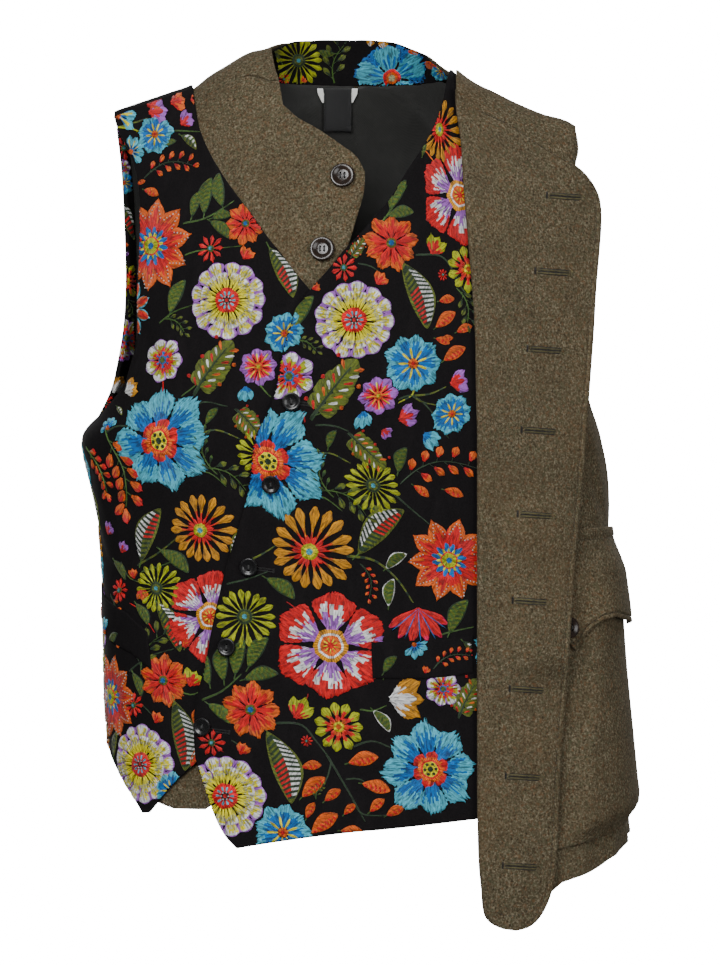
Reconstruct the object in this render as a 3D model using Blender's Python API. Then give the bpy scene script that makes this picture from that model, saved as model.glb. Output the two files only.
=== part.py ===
"""A two-layer waistcoat, filled out as if worn: a velvet waistcoat over and under a tweed one.

Metres, +Z up, the front towards -Y, the wearer's right at -X. The origin lies between the
shoulders, where a wearer carries the garment. Every cloth piece is a thin wall laid on one
general figure: first the figure is given by its girth at a few levels and by the line of its
shoulders, then each piece is a short table of sections across it.
"""

import math

import bpy
from mathutils import Vector

MM = 0.001

# Cloth, in millimetres
CLOTH_WALL = 2.0
LINING_WALL = 1.0
LAYER_AIR = 1.1
SEAM_GAP = 0.3
LAYER = CLOTH_WALL + LAYER_AIR

# How far each layer's inner face stands off the figure
LINING_LIFT = 0.0
FIRST_LIFT = LINING_WALL + LAYER_AIR
SECOND_LIFT = FIRST_LIFT + LAYER
THIRD_LIFT = SECOND_LIFT + LAYER

# Mesh pitch on the cloth, closer where the figure is sharply curved
ALONG_STEP = 34.0
RISE_STEP = 0.13
ARMPIT_ZONE = 40.0
ARMPIT_STEP = 16.0
STEEPEST = 2.5  # a tangent is at most this many times the gentler slope beside it
CORNER_ANGLE = 20.0  # an edge that turns by more than this has a corner there
EDGE_SHIFT = 0.1  # degrees that an edge keeps back from its seam line
CENTRE_BACK_X = -3.0
CENTRE_GAP = 0.25

# The figure
ARMPIT_LEVEL = -300.0
SHOULDER_LEVEL = -20.0
RING_POWER = 2.3
CAP_POWER = 1.8

FIGURE_LEVELS = (
    # level, left, right, front depth, back depth
    (-700, -195, 217, 116, 112),
    (-600, -196, 209, 114, 108),
    (-541, -197.5, 204.5, 110, 101),
    (-480, -200.5, 200, 106, 94),
    (-410, -202, 197, 104, 92),
    (-358, -207.5, 194.5, 107, 96),
    (-327, -213.5, 192.7, 110, 101),
    (-300, -219.5, 189, 112, 105),
    (-279, -209, 184.6, 113, 107),
    (-256, -200, 180, 114, 108),
    (-236, -196, 177, 114, 108),
    (-200, -191, 174, 114, 108),
    (-158, -189.6, 172, 113, 107),
    (-120, -190.5, 172, 112, 105),
    (-58, -194, 172.5, 109, 101),
    (-20, -199.5, 174, 106, 97),
)

SHOULDER_LINE = (
    # x, height
    (-230, -46),
    (-199, -39),
    (-174, -31),
    (-152, -23.6),
    (-133, -16.5),
    (-121, -7),
    (-108, 1),
    (-89, 12),
    (-72, 16.5),
    (-60, 26),
    (-40, 42),
    (0, 58),
    (30, 48),
    (50, 28),
    (62, 10),
    (73, -3),
    (90, -15),
    (105, -22),
    (123, -31),
    (147, -41),
    (166, -46.5),
    (176, -53),
    (210, -70),
)

# Side seams of the tweed: height, degrees round from the middle of the front
RIGHT_SEAM = ((-660, -136), (-300, -92))
LEFT_SEAM = ((-660, 118), (-300, 93))
VELVET_OVER_SEAM = 3.5  # degrees by which the velvet front laps its side seam

# The left fronts lie high where they lap the right ones, and sink to the lining at the side
SIDE_DIP = 0.4
SHOULDER_RISE = 0.5
HEM_RISE = 0.3
SHOULDER_DIP = 0.5
LAP_START_X = -18.0
LAP_END_X = 105.0

# The turned-back edge of the tweed left front
ROLL_RADIUS = 2.8
ROLL_STEPS = 5
ROLL_FOOT = 0.6
TURNBACK_WALL = 2.4
TURNBACK_REST = 3.4
TURNBACK_SETTLE = 26.0
TURNBACK_FREE_X = 136.0
TURNBACK_COLUMNS = 9

# Where it rides up over the pocket, the flap and the flap's button: height from, to, how much
TURNBACK_RIDES = (
    # low z, high z, fade, start x, width of the start, extra height
    (-650, -385, 40, 106, 22, 3.2),
    (-478, -362, 18, 106, 22, 3.0),
    (-472, -434, 30, 122, 24, 5.6),
)

# Pocket on the tweed left front
POCKET_PUFF_TOP = 5.5
POCKET_PUFF_BOTTOM = 10.0
POCKET_RIM = 0.16
FREE_EDGE = (
    # height, x of the turned-back edge, under which the pocket and flap lie flat
    (-640, 159),
    (-580, 162),
    (-538, 164.5),
    (-492, 168.5),
    (-445, 171),
    (-395, 174.6),
    (-345, 180),
)
PUFF_START = 15.0

# Buttons: across, thick, dished width, dish depth
BLACK_BUTTON = (15.0, 3.2, 9.4, 0.9)
HORN_BUTTON = (20.0, 4.2, 12.8, 1.2)
FLAP_BUTTON = (17.0, 3.6, 10.6, 1.0)
BUTTON_SIDES = 16

FRONT = -1
BACK = 1
TOP = 900.0


# ---------------------------------------------------------------- figure


def clamp(value, low, high):
    return max(low, min(high, value))


def ease(value):
    """0 below 0, 1 above 1 and smooth between."""
    value = clamp(value, 0.0, 1.0)
    return value * value * (3 - 2 * value)


def mix(first, second, share):
    return first + (second - first) * share


def signed_power(value, power):
    return math.copysign(abs(value) ** power, value)


def slopes(keys, values):
    """The tangents of a smooth curve that keeps between the given values."""
    chords = [
        (values[i + 1] - values[i]) / (keys[i + 1] - keys[i]) for i in range(len(keys) - 1)
    ]
    found = [chords[0]]
    for before, after in zip(chords, chords[1:]):
        if before * after <= 0:
            found.append(0.0)
        else:
            limit = STEEPEST * min(abs(before), abs(after))
            found.append(clamp((before + after) / 2, -limit, limit))
    return found + [chords[-1]]


def on_curve(keys, values, tangents, key, corners=()):
    """The curve's value at key: smooth, but straight on each side of a corner."""
    key = clamp(key, keys[0], keys[-1])
    i = 0
    while i < len(keys) - 2 and key > keys[i + 1]:
        i += 1
    width = keys[i + 1] - keys[i]
    t = (key - keys[i]) / width
    chord = (values[i + 1] - values[i]) / width
    leaving = chord if i in corners else tangents[i]
    arriving = chord if i + 1 in corners else tangents[i + 1]
    return (
        (2 * t**3 - 3 * t**2 + 1) * values[i]
        + (t**3 - 2 * t**2 + t) * width * leaving
        + (3 * t**2 - 2 * t**3) * values[i + 1]
        + (t**3 - t**2) * width * arriving
    )


def curve_of(table, column):
    """A smooth function of the table's first column."""
    keys = [row[0] for row in table]
    values = [row[column] for row in table]
    tangents = slopes(keys, values)
    return lambda key: on_curve(keys, values, tangents, key)


left_of = curve_of(FIGURE_LEVELS, 1)
right_of = curve_of(FIGURE_LEVELS, 2)
front_of = curve_of(FIGURE_LEVELS, 3)
back_of = curve_of(FIGURE_LEVELS, 4)
shoulder_height = curve_of(SHOULDER_LINE, 1)


def level_of(share):
    return ARMPIT_LEVEL + share * (SHOULDER_LEVEL - ARMPIT_LEVEL)


def share_of(rise):
    """Rise is 0 at the armpits and 1 on the shoulder line; below the armpits it is negative."""
    return 1 - (1 - rise) ** 2 if rise > 0 else 2 * rise


def figure_point(home, turn, rise):
    """The figure's skin. Past a quarter turn it is on the other side, and so it is past rise 1."""
    side = home
    if abs(turn) > math.pi / 2:
        side = -side
        turn = math.copysign(math.pi, turn) - turn
    if rise > 1:
        side = -side
        rise = 2 - rise
    share = share_of(rise)
    level = level_of(share)
    middle = (left_of(level) + right_of(level)) / 2
    half = (right_of(level) - left_of(level)) / 2
    x = middle + half * signed_power(math.sin(turn), 2 / RING_POWER)
    depth = front_of(level) if side == FRONT else back_of(level)
    depth *= abs(math.cos(turn)) ** (2 / RING_POWER)
    z = level
    if share > 0:
        depth *= (1 - share**CAP_POWER) ** (1 / CAP_POWER)
        z = ARMPIT_LEVEL + share * (shoulder_height(x) - ARMPIT_LEVEL)
    return Vector((x, side * depth, z))


def figure_frame(home, turn, rise):
    """The skin's point, and the direction straight out of it."""
    tiny = 0.004
    across = figure_point(home, turn + tiny, rise) - figure_point(home, turn - tiny, rise)
    up = figure_point(home, turn, rise + tiny) - figure_point(home, turn, rise - tiny)
    return figure_point(home, turn, rise), (across.cross(up) * -home).normalized()


# ---------------------------------------------------------------- spots on the figure


def on(x, z):
    """A spot, as (turn, rise), on the side that a piece starts from."""
    height = shoulder_height(x) if z > ARMPIT_LEVEL else SHOULDER_LEVEL
    share = min((z - ARMPIT_LEVEL) / (height - ARMPIT_LEVEL), 1)
    level = level_of(share)
    middle = (left_of(level) + right_of(level)) / 2
    half = (right_of(level) - left_of(level)) / 2
    sine = signed_power(clamp((x - middle) / half, -1, 1), RING_POWER / 2)
    rise = 1 - math.sqrt(1 - share) if share > 0 else share / 2
    return math.asin(sine), rise


def seen(x, z, lift):
    """A spot whose point, lifted off the skin, has this x and z."""
    base_x, base_z = x, z
    for _ in range(8):
        point, out = figure_frame(FRONT, *on(base_x, base_z))
        point = point + out * lift
        base_x += (x - point.x) * 0.8
        base_z += (z - point.z) * 0.8
    return on(base_x, base_z)


def over(x, z):
    """A spot past the shoulder line, on the other side."""
    turn, rise = on(x, z)
    return turn, 2 - rise


def crest(x, rise):
    """A spot close to the shoulder line."""
    return on(x, TOP)[0], rise


def at(degrees, z):
    """A spot at an angle round from the middle of a piece's side."""
    height = SHOULDER_LEVEL
    turn = math.radians(degrees)
    if z > ARMPIT_LEVEL:
        for _ in range(6):
            share = min((z - ARMPIT_LEVEL) / (height - ARMPIT_LEVEL), 1)
            level = level_of(share)
            middle = (left_of(level) + right_of(level)) / 2
            half = (right_of(level) - left_of(level)) / 2
            height = shoulder_height(middle + half * signed_power(math.sin(turn), 2 / RING_POWER))
    share = min((z - ARMPIT_LEVEL) / (height - ARMPIT_LEVEL), 1)
    rise = 1 - math.sqrt(1 - share) if share > 0 else share / 2
    return turn, rise


def seam(table, z, home, shift):
    """A spot on a side seam, kept back from it by shift degrees."""
    keys = [row[0] for row in table]
    i = 0
    while i < len(keys) - 2 and z > keys[i + 1]:
        i += 1
    low, high = table[i], table[i + 1]
    degrees = mix(low[1], high[1], (z - low[0]) / (high[0] - low[0]))
    if home == BACK:
        degrees = math.copysign(180, degrees) - degrees
    return at(degrees - math.copysign(shift, degrees), z)


# ---------------------------------------------------------------- cloth walls


def section_of(row):
    """One section's numbers: its two end spots, and how far its middle bows up from the line."""
    start, end = row[0], row[1]
    bow = 0.0
    if len(row) == 3:
        share = (row[2][0] - start[0]) / (end[0] - start[0])
        bow = (row[2][1] - mix(start[1], end[1], share)) / (4 * share * (1 - share))
    return (*start, *end, bow)


def corners_of(points):
    """Which of an edge's points are corners."""
    found = set()
    for i in range(1, len(points) - 1):
        before, after = points[i] - points[i - 1], points[i + 1] - points[i]
        if before.length and after.length and math.degrees(before.angle(after)) > CORNER_ANGLE:
            found.add(i)
    return found


def smooth_sections(home, rows, step):
    """Sections on smooth curves through the given ones, no further than about step apart."""
    given = [section_of(row) for row in rows]
    starts = [figure_point(home, *section[0:2]) for section in given]
    ends = [figure_point(home, *section[2:4]) for section in given]
    steps = [
        ((starts[i + 1] - starts[i]).length, (ends[i + 1] - ends[i]).length)
        for i in range(len(given) - 1)
    ]
    reach = [0.0]
    for start_step, end_step in steps:
        reach.append(reach[-1] + max(1.0, (start_step + end_step) / 2))
    start_corners, end_corners = corners_of(starts), corners_of(ends)
    curves = [
        (column, slopes(reach, column), corners)
        for column, corners in zip(zip(*given), 2 * [start_corners] + 2 * [end_corners] + [set()])
    ]
    sections = [given[0]]
    for i, (start_step, end_step) in enumerate(steps):
        near = abs(ends[i + 1].z - ARMPIT_LEVEL) < ARMPIT_ZONE
        pitch = min(step, ARMPIT_STEP) if near else step
        climb = max(abs(given[i + 1][k] - given[i][k]) for k in (1, 3))
        count = max(1, round(max(start_step, end_step) / pitch), math.ceil(climb / RISE_STEP))
        for k in range(1, count + 1):
            key = mix(reach[i], reach[i + 1], k / count)
            sections.append(
                tuple(on_curve(reach, values, tangents, key, corners) for values, tangents, corners in curves)
            )
    return sections


def spot_on(section, u):
    turn = mix(section[0], section[2], u)
    rise = mix(section[1], section[3], u) + section[4] * 4 * u * (1 - u)
    return turn, rise


def finish(name, points, faces, paint):
    """The object, with its faces turned out."""
    mesh = bpy.data.meshes.new(name)
    volume = 0.0
    for face in faces:
        for k in range(1, len(face) - 1):
            a, b, c = points[face[0]], points[face[k]], points[face[k + 1]]
            volume += a.dot(b.cross(c))
    if volume < 0:
        faces = [tuple(reversed(face)) for face in faces]
    mesh.from_pydata([point * MM for point in points], [], faces)
    mesh.materials.append(paint)
    mesh.shade_smooth()
    mesh.set_sharp_from_angle(angle=math.radians(40))
    obj = bpy.data.objects.new(name, mesh)
    bpy.context.scene.collection.objects.link(obj)
    return obj


def wall(name, outer, inner, paint):
    """A closed wall between two equal grids of points."""
    height, width = len(outer), len(outer[0])
    points = [point for row in outer for point in row] + [point for row in inner for point in row]
    behind = height * width

    def out(i, j):
        return i * width + j

    faces = []
    for i in range(height - 1):
        for j in range(width - 1):
            around = (out(i, j), out(i, j + 1), out(i + 1, j + 1), out(i + 1, j))
            faces.append(around)
            faces.append(tuple(behind + k for k in reversed(around)))
    rim = [out(0, j) for j in range(width)]
    rim += [out(i, width - 1) for i in range(1, height)]
    rim += [out(height - 1, j) for j in range(width - 2, -1, -1)]
    rim += [out(i, 0) for i in range(height - 2, 0, -1)]
    for k, this in enumerate(rim):
        after = rim[(k + 1) % len(rim)]
        faces.append((after, this, behind + this, behind + after))
    return finish(name, points, faces, paint)


def cloth(name, home, rows, lift, paint, columns, thick=CLOTH_WALL, step=ALONG_STEP):
    """A wall of cloth on the figure. Lift gives its inner face's height at a point and (u, v)."""
    sections = smooth_sections(home, rows, step)
    outer, inner = [], []
    for i, section in enumerate(sections):
        outer.append([])
        inner.append([])
        for k in range(columns + 1):
            u = k / columns
            point, out = figure_frame(home, *spot_on(section, u))
            low = lift(point, u, i / (len(sections) - 1))
            inner[-1].append(point + out * low)
            outer[-1].append(point + out * (low + thick))
    return wall(name, outer, inner, paint)


def steady(height):
    return lambda point, u, v: height


# ---------------------------------------------------------------- how high each layer lies


def left_velvet_lift(point, u=0.0, v=0.0):
    return mix(THIRD_LIFT, FIRST_LIFT, ease((point.x - LAP_START_X) / (LAP_END_X - LAP_START_X)))


# Soft folds at the hem of the tweed left front: degrees round, half width, height, top of the fold
HEM_FOLDS = (
    (52, 5, 2.2, -585),
    (66, 4, 3.2, -600),
    (80, 5, 2.6, -590),
    (97, 6, 3.5, -560),
)
HEM_FOLD_FADE = 60.0


def hem_fold(point):
    """How far the hem's folds stand out."""
    degrees = math.degrees(math.atan2(point.x, -point.y * right_of(point.z) / front_of(point.z)))
    height = 0.0
    for centre, half_width, tall, top in HEM_FOLDS:
        near = max(0.0, 1 - ((degrees - centre) / half_width) ** 2)
        height += tall * near * near * ease((top - point.z) / HEM_FOLD_FADE)
    return height


def left_tweed_lift(point, u=0.0, v=0.0):
    return left_velvet_lift(point) + LAYER + hem_fold(point)


def left_back_lift(point, u=0.0, v=0.0):
    return mix(FIRST_LIFT, SECOND_LIFT, ease((point.x - 10) / 50))


# ---------------------------------------------------------------- colours


def paint(name, colour, roughness, metallic=0.0):
    material = bpy.data.materials.new(name)
    material.diffuse_color = (*colour, 1)
    material.use_nodes = True
    shader = material.node_tree.nodes["Principled BSDF"]
    shader.inputs["Base Color"].default_value = (*colour, 1)
    shader.inputs["Roughness"].default_value = roughness
    shader.inputs["Metallic"].default_value = metallic
    return material


# ---------------------------------------------------------------- velvet fronts


def right_velvet_lift(point, u, v):
    """Clear of the tweed under it, and sewn down on it at the side."""
    side = ease((u - 0.88) / 0.1) * ease((-330 - point.z) / 30)
    rise = SHOULDER_RISE * ease((point.z + 90) / 60) + HEM_RISE * ease((-500 - point.z) / 30)
    return SECOND_LIFT - SIDE_DIP * side + rise


def embroidered_right_front(velvet):
    lap = VELVET_OVER_SEAM

    def side(z):
        return seam(RIGHT_SEAM, z, FRONT, -lap)

    rows = (
        # inner edge: hem's point, cut-away, front edge, neckline; outer edge: hem, side, armhole
        (on(-166, -601), on(-171.5, -601.5)),
        (on(-160.5, -594), on(-177, -592)),
        (on(-149, -579.5), on(-185, -578)),
        (on(-137, -568), on(-192.5, -563)),
        (on(-124, -557), at(-88, -548)),
        (on(-113, -545), at(-103, -542)),
        (on(-106, -530), at(-115, -539.5)),
        (on(-100, -512), side(-528)),
        (on(-86, -455), side(-480)),
        (on(-70, -390), side(-420)),
        (on(-52, -320), side(-360)),
        (on(-40, -272), side(-322)),
        (on(-32, -240), at(-88.5, -300)),
        (on(-25, -215), seen(-210, -278, 7)),
        (on(-24, -198), seen(-191.2, -255, 7)),
        (on(-48.6, -169), seen(-182.3, -220, 7)),
        (on(-66, -146), seen(-181, -186, 7)),
        (on(-82, -125), seen(-179.3, -157, 7)),
        (on(-98, -103), seen(-178.5, -130, 7)),
        (on(-111, -84), seen(-178.8, -108, 7)),
        (on(-121, -66), seen(-181.5, -86, 7)),
        (on(-128.5, -45), seen(-188, -65, 7)),
        (on(-132, -25), seen(-197, -47, 7)),
        (crest(-133, 1.0), crest(-198, 0.98)),
        (crest(-133, 1.09), crest(-198, 1.07)),
    )
    cloth("embroidered_right_front", FRONT, rows, right_velvet_lift, velvet, 12)


def shoulder_velvet_lift(point, u, v):
    """The velvet lies close on the shoulder, under the tweed's own shoulder seam."""
    return left_velvet_lift(point) - SHOULDER_DIP * ease((point.z + 120) / 60)


def embroidered_left_front(velvet):
    rows = (
        # inner edge: hem's point, cut-away, closing edge, neckline; outer edge: side and armhole
        (on(-97, -629.5), on(196, -592), on(16, -614.5)),
        (on(-106, -619.5), on(195, -572), on(16, -600)),
        (on(-114, -604), on(194, -548), on(16, -580)),
        (on(-120, -586), on(193, -522)),
        (on(-125.5, -570), on(192, -498)),
        (on(-129.6, -553), on(191, -474)),
        (on(-130.4, -526), on(190, -446)),
        (on(-122.5, -482), on(189, -410)),
        (on(-107.7, -410), on(187, -360)),
        (on(-89, -340), on(184, -322)),
        (on(-70.5, -270.5), at(80, -299)),
        (on(-61.6, -231), on(166, -270)),
        (on(-51, -195), on(160, -240)),
        (on(-38.5, -179), on(157, -214)),
        (on(-22, -160), on(155, -190)),
        (on(-6.5, -142), on(154, -165)),
        (on(9.7, -123), on(154, -142)),
        (on(23.5, -106), on(154.5, -122)),
        (on(38, -81), on(156, -102)),
        (on(50, -62), on(158, -86)),
        (on(59.5, -42), on(161, -73)),
        (on(66, -22), on(165, -62)),
        (crest(70, 0.9), crest(168, 0.94)),
        (crest(71, 1.02), crest(169, 1.02)),
    )
    cloth("embroidered_left_front", FRONT, rows, shoulder_velvet_lift, velvet, 12)


# ---------------------------------------------------------------- tweed fronts


def tweed_right_front(tweed):
    def side(z):
        return seam(RIGHT_SEAM, z, FRONT, EDGE_SHIFT)

    rows = (
        # inner edge: hem, front edge, neck; outer edge: hem, side, armhole
        (on(-124, -598.3), on(-149, -597.8)),
        (on(-113, -591), on(-163, -592)),
        (on(-105, -578), on(-177, -580)),
        (on(-100, -562), on(-187.5, -560)),
        (on(-98, -546), at(-88, -539)),
        (on(-97.5, -528), at(-106, -534)),
        (on(-95, -508), side(-528)),
        (on(-82, -450), side(-480)),
        (on(-64, -380), side(-420)),
        (on(-46, -310), side(-360)),
        (on(-30, -245), side(-322)),
        (on(-21, -205), side(-301)),
        (on(-15.5, -174), seen(-209.5, -281, 4)),
        (on(-10.5, -147), seen(-190, -257, 4)),
        (on(-4, -125), seen(-180.5, -222, 4)),
        (on(3, -100), seen(-178.5, -186, 4)),
        (on(4, -84), seen(-177, -157, 4)),
        (on(-1.5, -73), seen(-176.5, -130, 4)),
        (on(-14, -62.5), seen(-176.8, -108, 4)),
        (on(-31, -50.5), seen(-178.5, -88, 4)),
        (on(-49, -40), seen(-182, -74, 4)),
        (on(-61.5, -29), seen(-186, -62, 4)),
        (on(-64.6, -9.4), on(-188.5, -52.5), on(-90, -6)),
    )
    cloth("tweed_right_front", FRONT, rows, steady(FIRST_LIFT), tweed, 11)


def tweed_left_front(tweed):
    edge = ROLL_RADIUS + ROLL_FOOT + SEAM_GAP

    def side(z):
        return seam(LEFT_SEAM, z, FRONT, EDGE_SHIFT)

    rows = (
        # inner edge: along the fold; outer edge: hem, side, armhole
        (on(104.5 + edge, -684), on(137, -680)),
        (on(101 + edge, -672), on(150, -667)),
        (on(99 + edge, -655), on(163, -655), on(135, -663)),
        (on(98 + edge, -636), on(184, -648), on(140, -650)),
        (on(97 + edge, -612), on(198, -638), on(150, -632)),
        (on(96 + edge, -585), at(88, -622)),
        (on(95.6 + edge, -555), at(102, -616)),
        (on(95.6 + edge, -520), side(-612)),
        (on(95.6 + edge, -470), side(-550)),
        (on(95.6 + edge, -420), side(-480)),
        (on(95.6 + edge, -370), side(-410)),
        (on(95.6 + edge, -325), side(-350)),
        (on(95 + edge, -285), side(-305)),
        (on(94 + edge, -250), on(183, -280)),
        (on(93 + edge, -215), on(172, -250)),
        (on(91.5 + edge, -177), on(163, -215)),
        (on(89 + edge, -140), on(159, -180)),
        (on(86.5 + edge, -110), on(159, -145)),
        (on(84.2 + edge, -85), on(162, -115)),
        (on(82.5 + edge, -60), on(166.5, -90)),
        (on(80 + edge, -36), on(170, -74)),
        (on(78 + edge, -18), on(172, -63)),
        (crest(77.5, 1.0), crest(171.5, 0.99)),
        (crest(77, 1.05), crest(171, 1.05)),
    )
    cloth("tweed_left_front", FRONT, rows, left_tweed_lift, tweed, 10)


def between(value, low, high, fade):
    """1 from low to high, fading to 0 outside."""
    return ease((value - low + fade) / fade) * ease((high + fade - value) / fade)


def turnback_ride(x, z):
    extra = 0.0
    for low, high, fade, start, width, height in TURNBACK_RIDES:
        extra += height * between(z, low, high, fade) * ease((x - start) / width)
    return extra


def turnback_point(x, z, height):
    """A point over the tweed left front, seen at (x, z). Past the free line it runs straight on."""
    free = mix(TURNBACK_FREE_X, 260, ease((-300 - z) / 130))
    lift = left_velvet_lift(Vector((x, 0, z))) + LAYER + CLOTH_WALL / 2 + height + turnback_ride(x, z)

    def lifted(here):
        point, out = figure_frame(FRONT, *seen(here, z, lift))
        return point + out * lift

    point = lifted(min(x, free))
    if x > free:
        run = point - lifted(free - 8)
        point = point + Vector((1, run.y / run.x, 0)) * (x - free)
    return Vector((x, point.y, z))


def tweed_left_turnback(tweed):
    """The front's buttonhole edge, rolled outwards over itself from neck to hem."""
    rows = (
        # fold x, fold z, free edge x, free edge z, from the neck down
        (78, -15, 85.5, -27.5),
        (78.5, -27, 104, -35.5),
        (79.5, -36, 125, -44.5),
        (81, -46, 147.5, -60),
        (82.5, -57, 167, -71.5),
        (83.5, -69, 180, -80),
        (84, -82, 189.5, -91.5),
        (85, -97, 195, -104),
        (86.5, -115, 196.3, -120),
        (89, -145, 194.5, -147),
        (91.5, -175, 192, -175),
        (94, -215, 189.5, -215),
        (94.6, -257, 186.3, -257),
        (95.6, -300, 183, -301),
        (95.6, -345, 179.8, -345),
        (95.6, -395, 174.6, -395),
        (95.6, -445, 171, -445),
        (95.6, -492, 168.3, -492),
        (95.6, -538, 164.3, -538),
        (95.6, -580, 161.8, -580),
        (96, -618, 160, -620),
        (97, -645, 157.8, -650),
        (98.8, -663, 154.5, -666),
        (99.8, -676, 149.5, -678.5),
        (102.5, -685.5, 143, -688),
        (108.5, -691, 135.5, -693.5),
        (116.5, -694.5, 126, -695.8),
    )
    outer, inner = [], []
    for fold_x, fold_z, free_x, free_z in rows:
        path = [(ROLL_RADIUS + ROLL_FOOT, 0.0)]
        for k in range(ROLL_STEPS + 1):
            angle = math.pi * k / ROLL_STEPS
            path.append(
                (ROLL_RADIUS - ROLL_RADIUS * math.sin(angle), ROLL_RADIUS - ROLL_RADIUS * math.cos(angle))
            )
        width = math.hypot(free_x - fold_x, free_z - fold_z)
        for k in range(1, TURNBACK_COLUMNS + 1):
            s = mix(ROLL_RADIUS, width, (k / TURNBACK_COLUMNS) ** 1.25)
            height = mix(2 * ROLL_RADIUS, TURNBACK_REST, ease((s - ROLL_RADIUS) / TURNBACK_SETTLE))
            path.append((s, height))
        outer.append([])
        inner.append([])
        for k, (s, height) in enumerate(path):
            before = path[max(k - 1, 0)]
            after = path[min(k + 1, len(path) - 1)]
            run_s, run_h = after[0] - before[0], after[1] - before[1]
            length = math.hypot(run_s, run_h)
            out_s, out_h = -run_h / length, run_s / length
            half = TURNBACK_WALL / 2
            if height < ROLL_RADIUS / 2:
                half = CLOTH_WALL / 2
            for side, found in ((1, outer[-1]), (-1, inner[-1])):
                here_s = s + side * half * out_s
                here_h = height + side * half * out_h
                share = here_s / width
                found.append(turnback_point(fold_x + (free_x - fold_x) * share, mix(fold_z, free_z, share), here_h))
    wall("tweed_left_turnback", outer, inner, tweed)


# ---------------------------------------------------------------- back and lining


def tweed_back_right(tweed):
    def side(z):
        return seam(RIGHT_SEAM, z, BACK, EDGE_SHIFT)

    def armhole(z):
        return at(armhole_edge(z), z)

    rows = (
        # inner edge: middle seam, neck; outer edge: side seam, armhole, shoulder
        (on(CENTRE_BACK_X - CENTRE_GAP, -588), side(-540)),
        (on(CENTRE_BACK_X - CENTRE_GAP, -520), side(-480)),
        (on(CENTRE_BACK_X - CENTRE_GAP, -455), side(-420)),
        (on(CENTRE_BACK_X - CENTRE_GAP, -390), side(-360)),
        (on(CENTRE_BACK_X - CENTRE_GAP, -340), side(-322)),
        (on(CENTRE_BACK_X - CENTRE_GAP, -300), side(-301)),
        (on(CENTRE_BACK_X - CENTRE_GAP, -262), armhole(-280)),
        (on(CENTRE_BACK_X - CENTRE_GAP, -205), armhole(-240)),
        (on(CENTRE_BACK_X - CENTRE_GAP, -150), armhole(-195)),
        (on(CENTRE_BACK_X - CENTRE_GAP, -100), armhole(-155)),
        (on(CENTRE_BACK_X - CENTRE_GAP, -50), armhole(-118)),
        (on(CENTRE_BACK_X - CENTRE_GAP, -10), armhole(-88)),
        (on(CENTRE_BACK_X - CENTRE_GAP, 16), armhole(-66)),
        (on(CENTRE_BACK_X - CENTRE_GAP - 2, 20), armhole(-63)),
        (on(-30, 20.3), crest(-194, 0.9)),
        (on(-56, 20), crest(-194, 1.0)),
        (crest(-71, 1.0), crest(-193, 1.1)),
        (over(-68.5, 4), over(-190.5, -47)),
        (over(-64.6, -8.8), over(-188.5, -52), over(-90, -5.5)),
    )
    cloth("tweed_back_right", BACK, rows, steady(FIRST_LIFT), tweed, 11)


def tweed_back_left(tweed):
    def side(z):
        return seam(LEFT_SEAM, z, BACK, EDGE_SHIFT)

    rows = (
        # inner edge: middle seam, neck; outer edge: side seam, armhole, shoulder
        (on(CENTRE_BACK_X + CENTRE_GAP, -588), side(-612)),
        (on(CENTRE_BACK_X + CENTRE_GAP, -520), side(-550)),
        (on(CENTRE_BACK_X + CENTRE_GAP, -455), side(-480)),
        (on(CENTRE_BACK_X + CENTRE_GAP, -390), side(-410)),
        (on(CENTRE_BACK_X + CENTRE_GAP, -340), side(-350)),
        (on(CENTRE_BACK_X + CENTRE_GAP, -300), side(-305)),
        (on(CENTRE_BACK_X + CENTRE_GAP, -255), at(83, -272)),
        (on(CENTRE_BACK_X + CENTRE_GAP, -205), at(80, -235)),
        (on(CENTRE_BACK_X + CENTRE_GAP, -150), at(79, -195)),
        (on(CENTRE_BACK_X + CENTRE_GAP, -100), at(79, -158)),
        (on(CENTRE_BACK_X + CENTRE_GAP, -50), at(79, -122)),
        (on(CENTRE_BACK_X + CENTRE_GAP, -10), at(79, -96)),
        (on(CENTRE_BACK_X + CENTRE_GAP, 16), at(79, -82)),
        (on(CENTRE_BACK_X + CENTRE_GAP + 2, 20), at(79, -79)),
        (on(21, 19.3), at(80, -71)),
        (on(38, 15), crest(171, 0.85)),
        (on(58, 4.5), crest(171.2, 0.89)),
        (crest(75, 0.93), crest(171, 0.94)),
    )
    cloth("tweed_back_left", BACK, rows, left_back_lift, tweed, 9)


NECK_FACING_DIP = 0.8
BAND_FOOT = (
    # x, height of the neck facing's lower edge
    (-66, -8.5),
    (-35, -9.7),
    (8, -10.5),
    (49, -9),
    (66, -7.5),
)
band_foot = curve_of(BAND_FOOT, 1)

ARMHOLE_FACING = (
    # height, degrees at the armhole's edge, degrees at the facing's inner edge
    (-299, -87, -52),
    (-280, -83.4, -55),
    (-256, -80.5, -62),
    (-228, -79, -69),
    (-200, -78, -72.3),
    (-160, -77.6, -72.6),
    (-120, -77.6, -72.6),
    (-80, -77.8, -73),
    (-46, -78, -73.4),
)


armhole_edge = curve_of(ARMHOLE_FACING, 1)
facing_inner = curve_of(ARMHOLE_FACING, 2)


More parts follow.
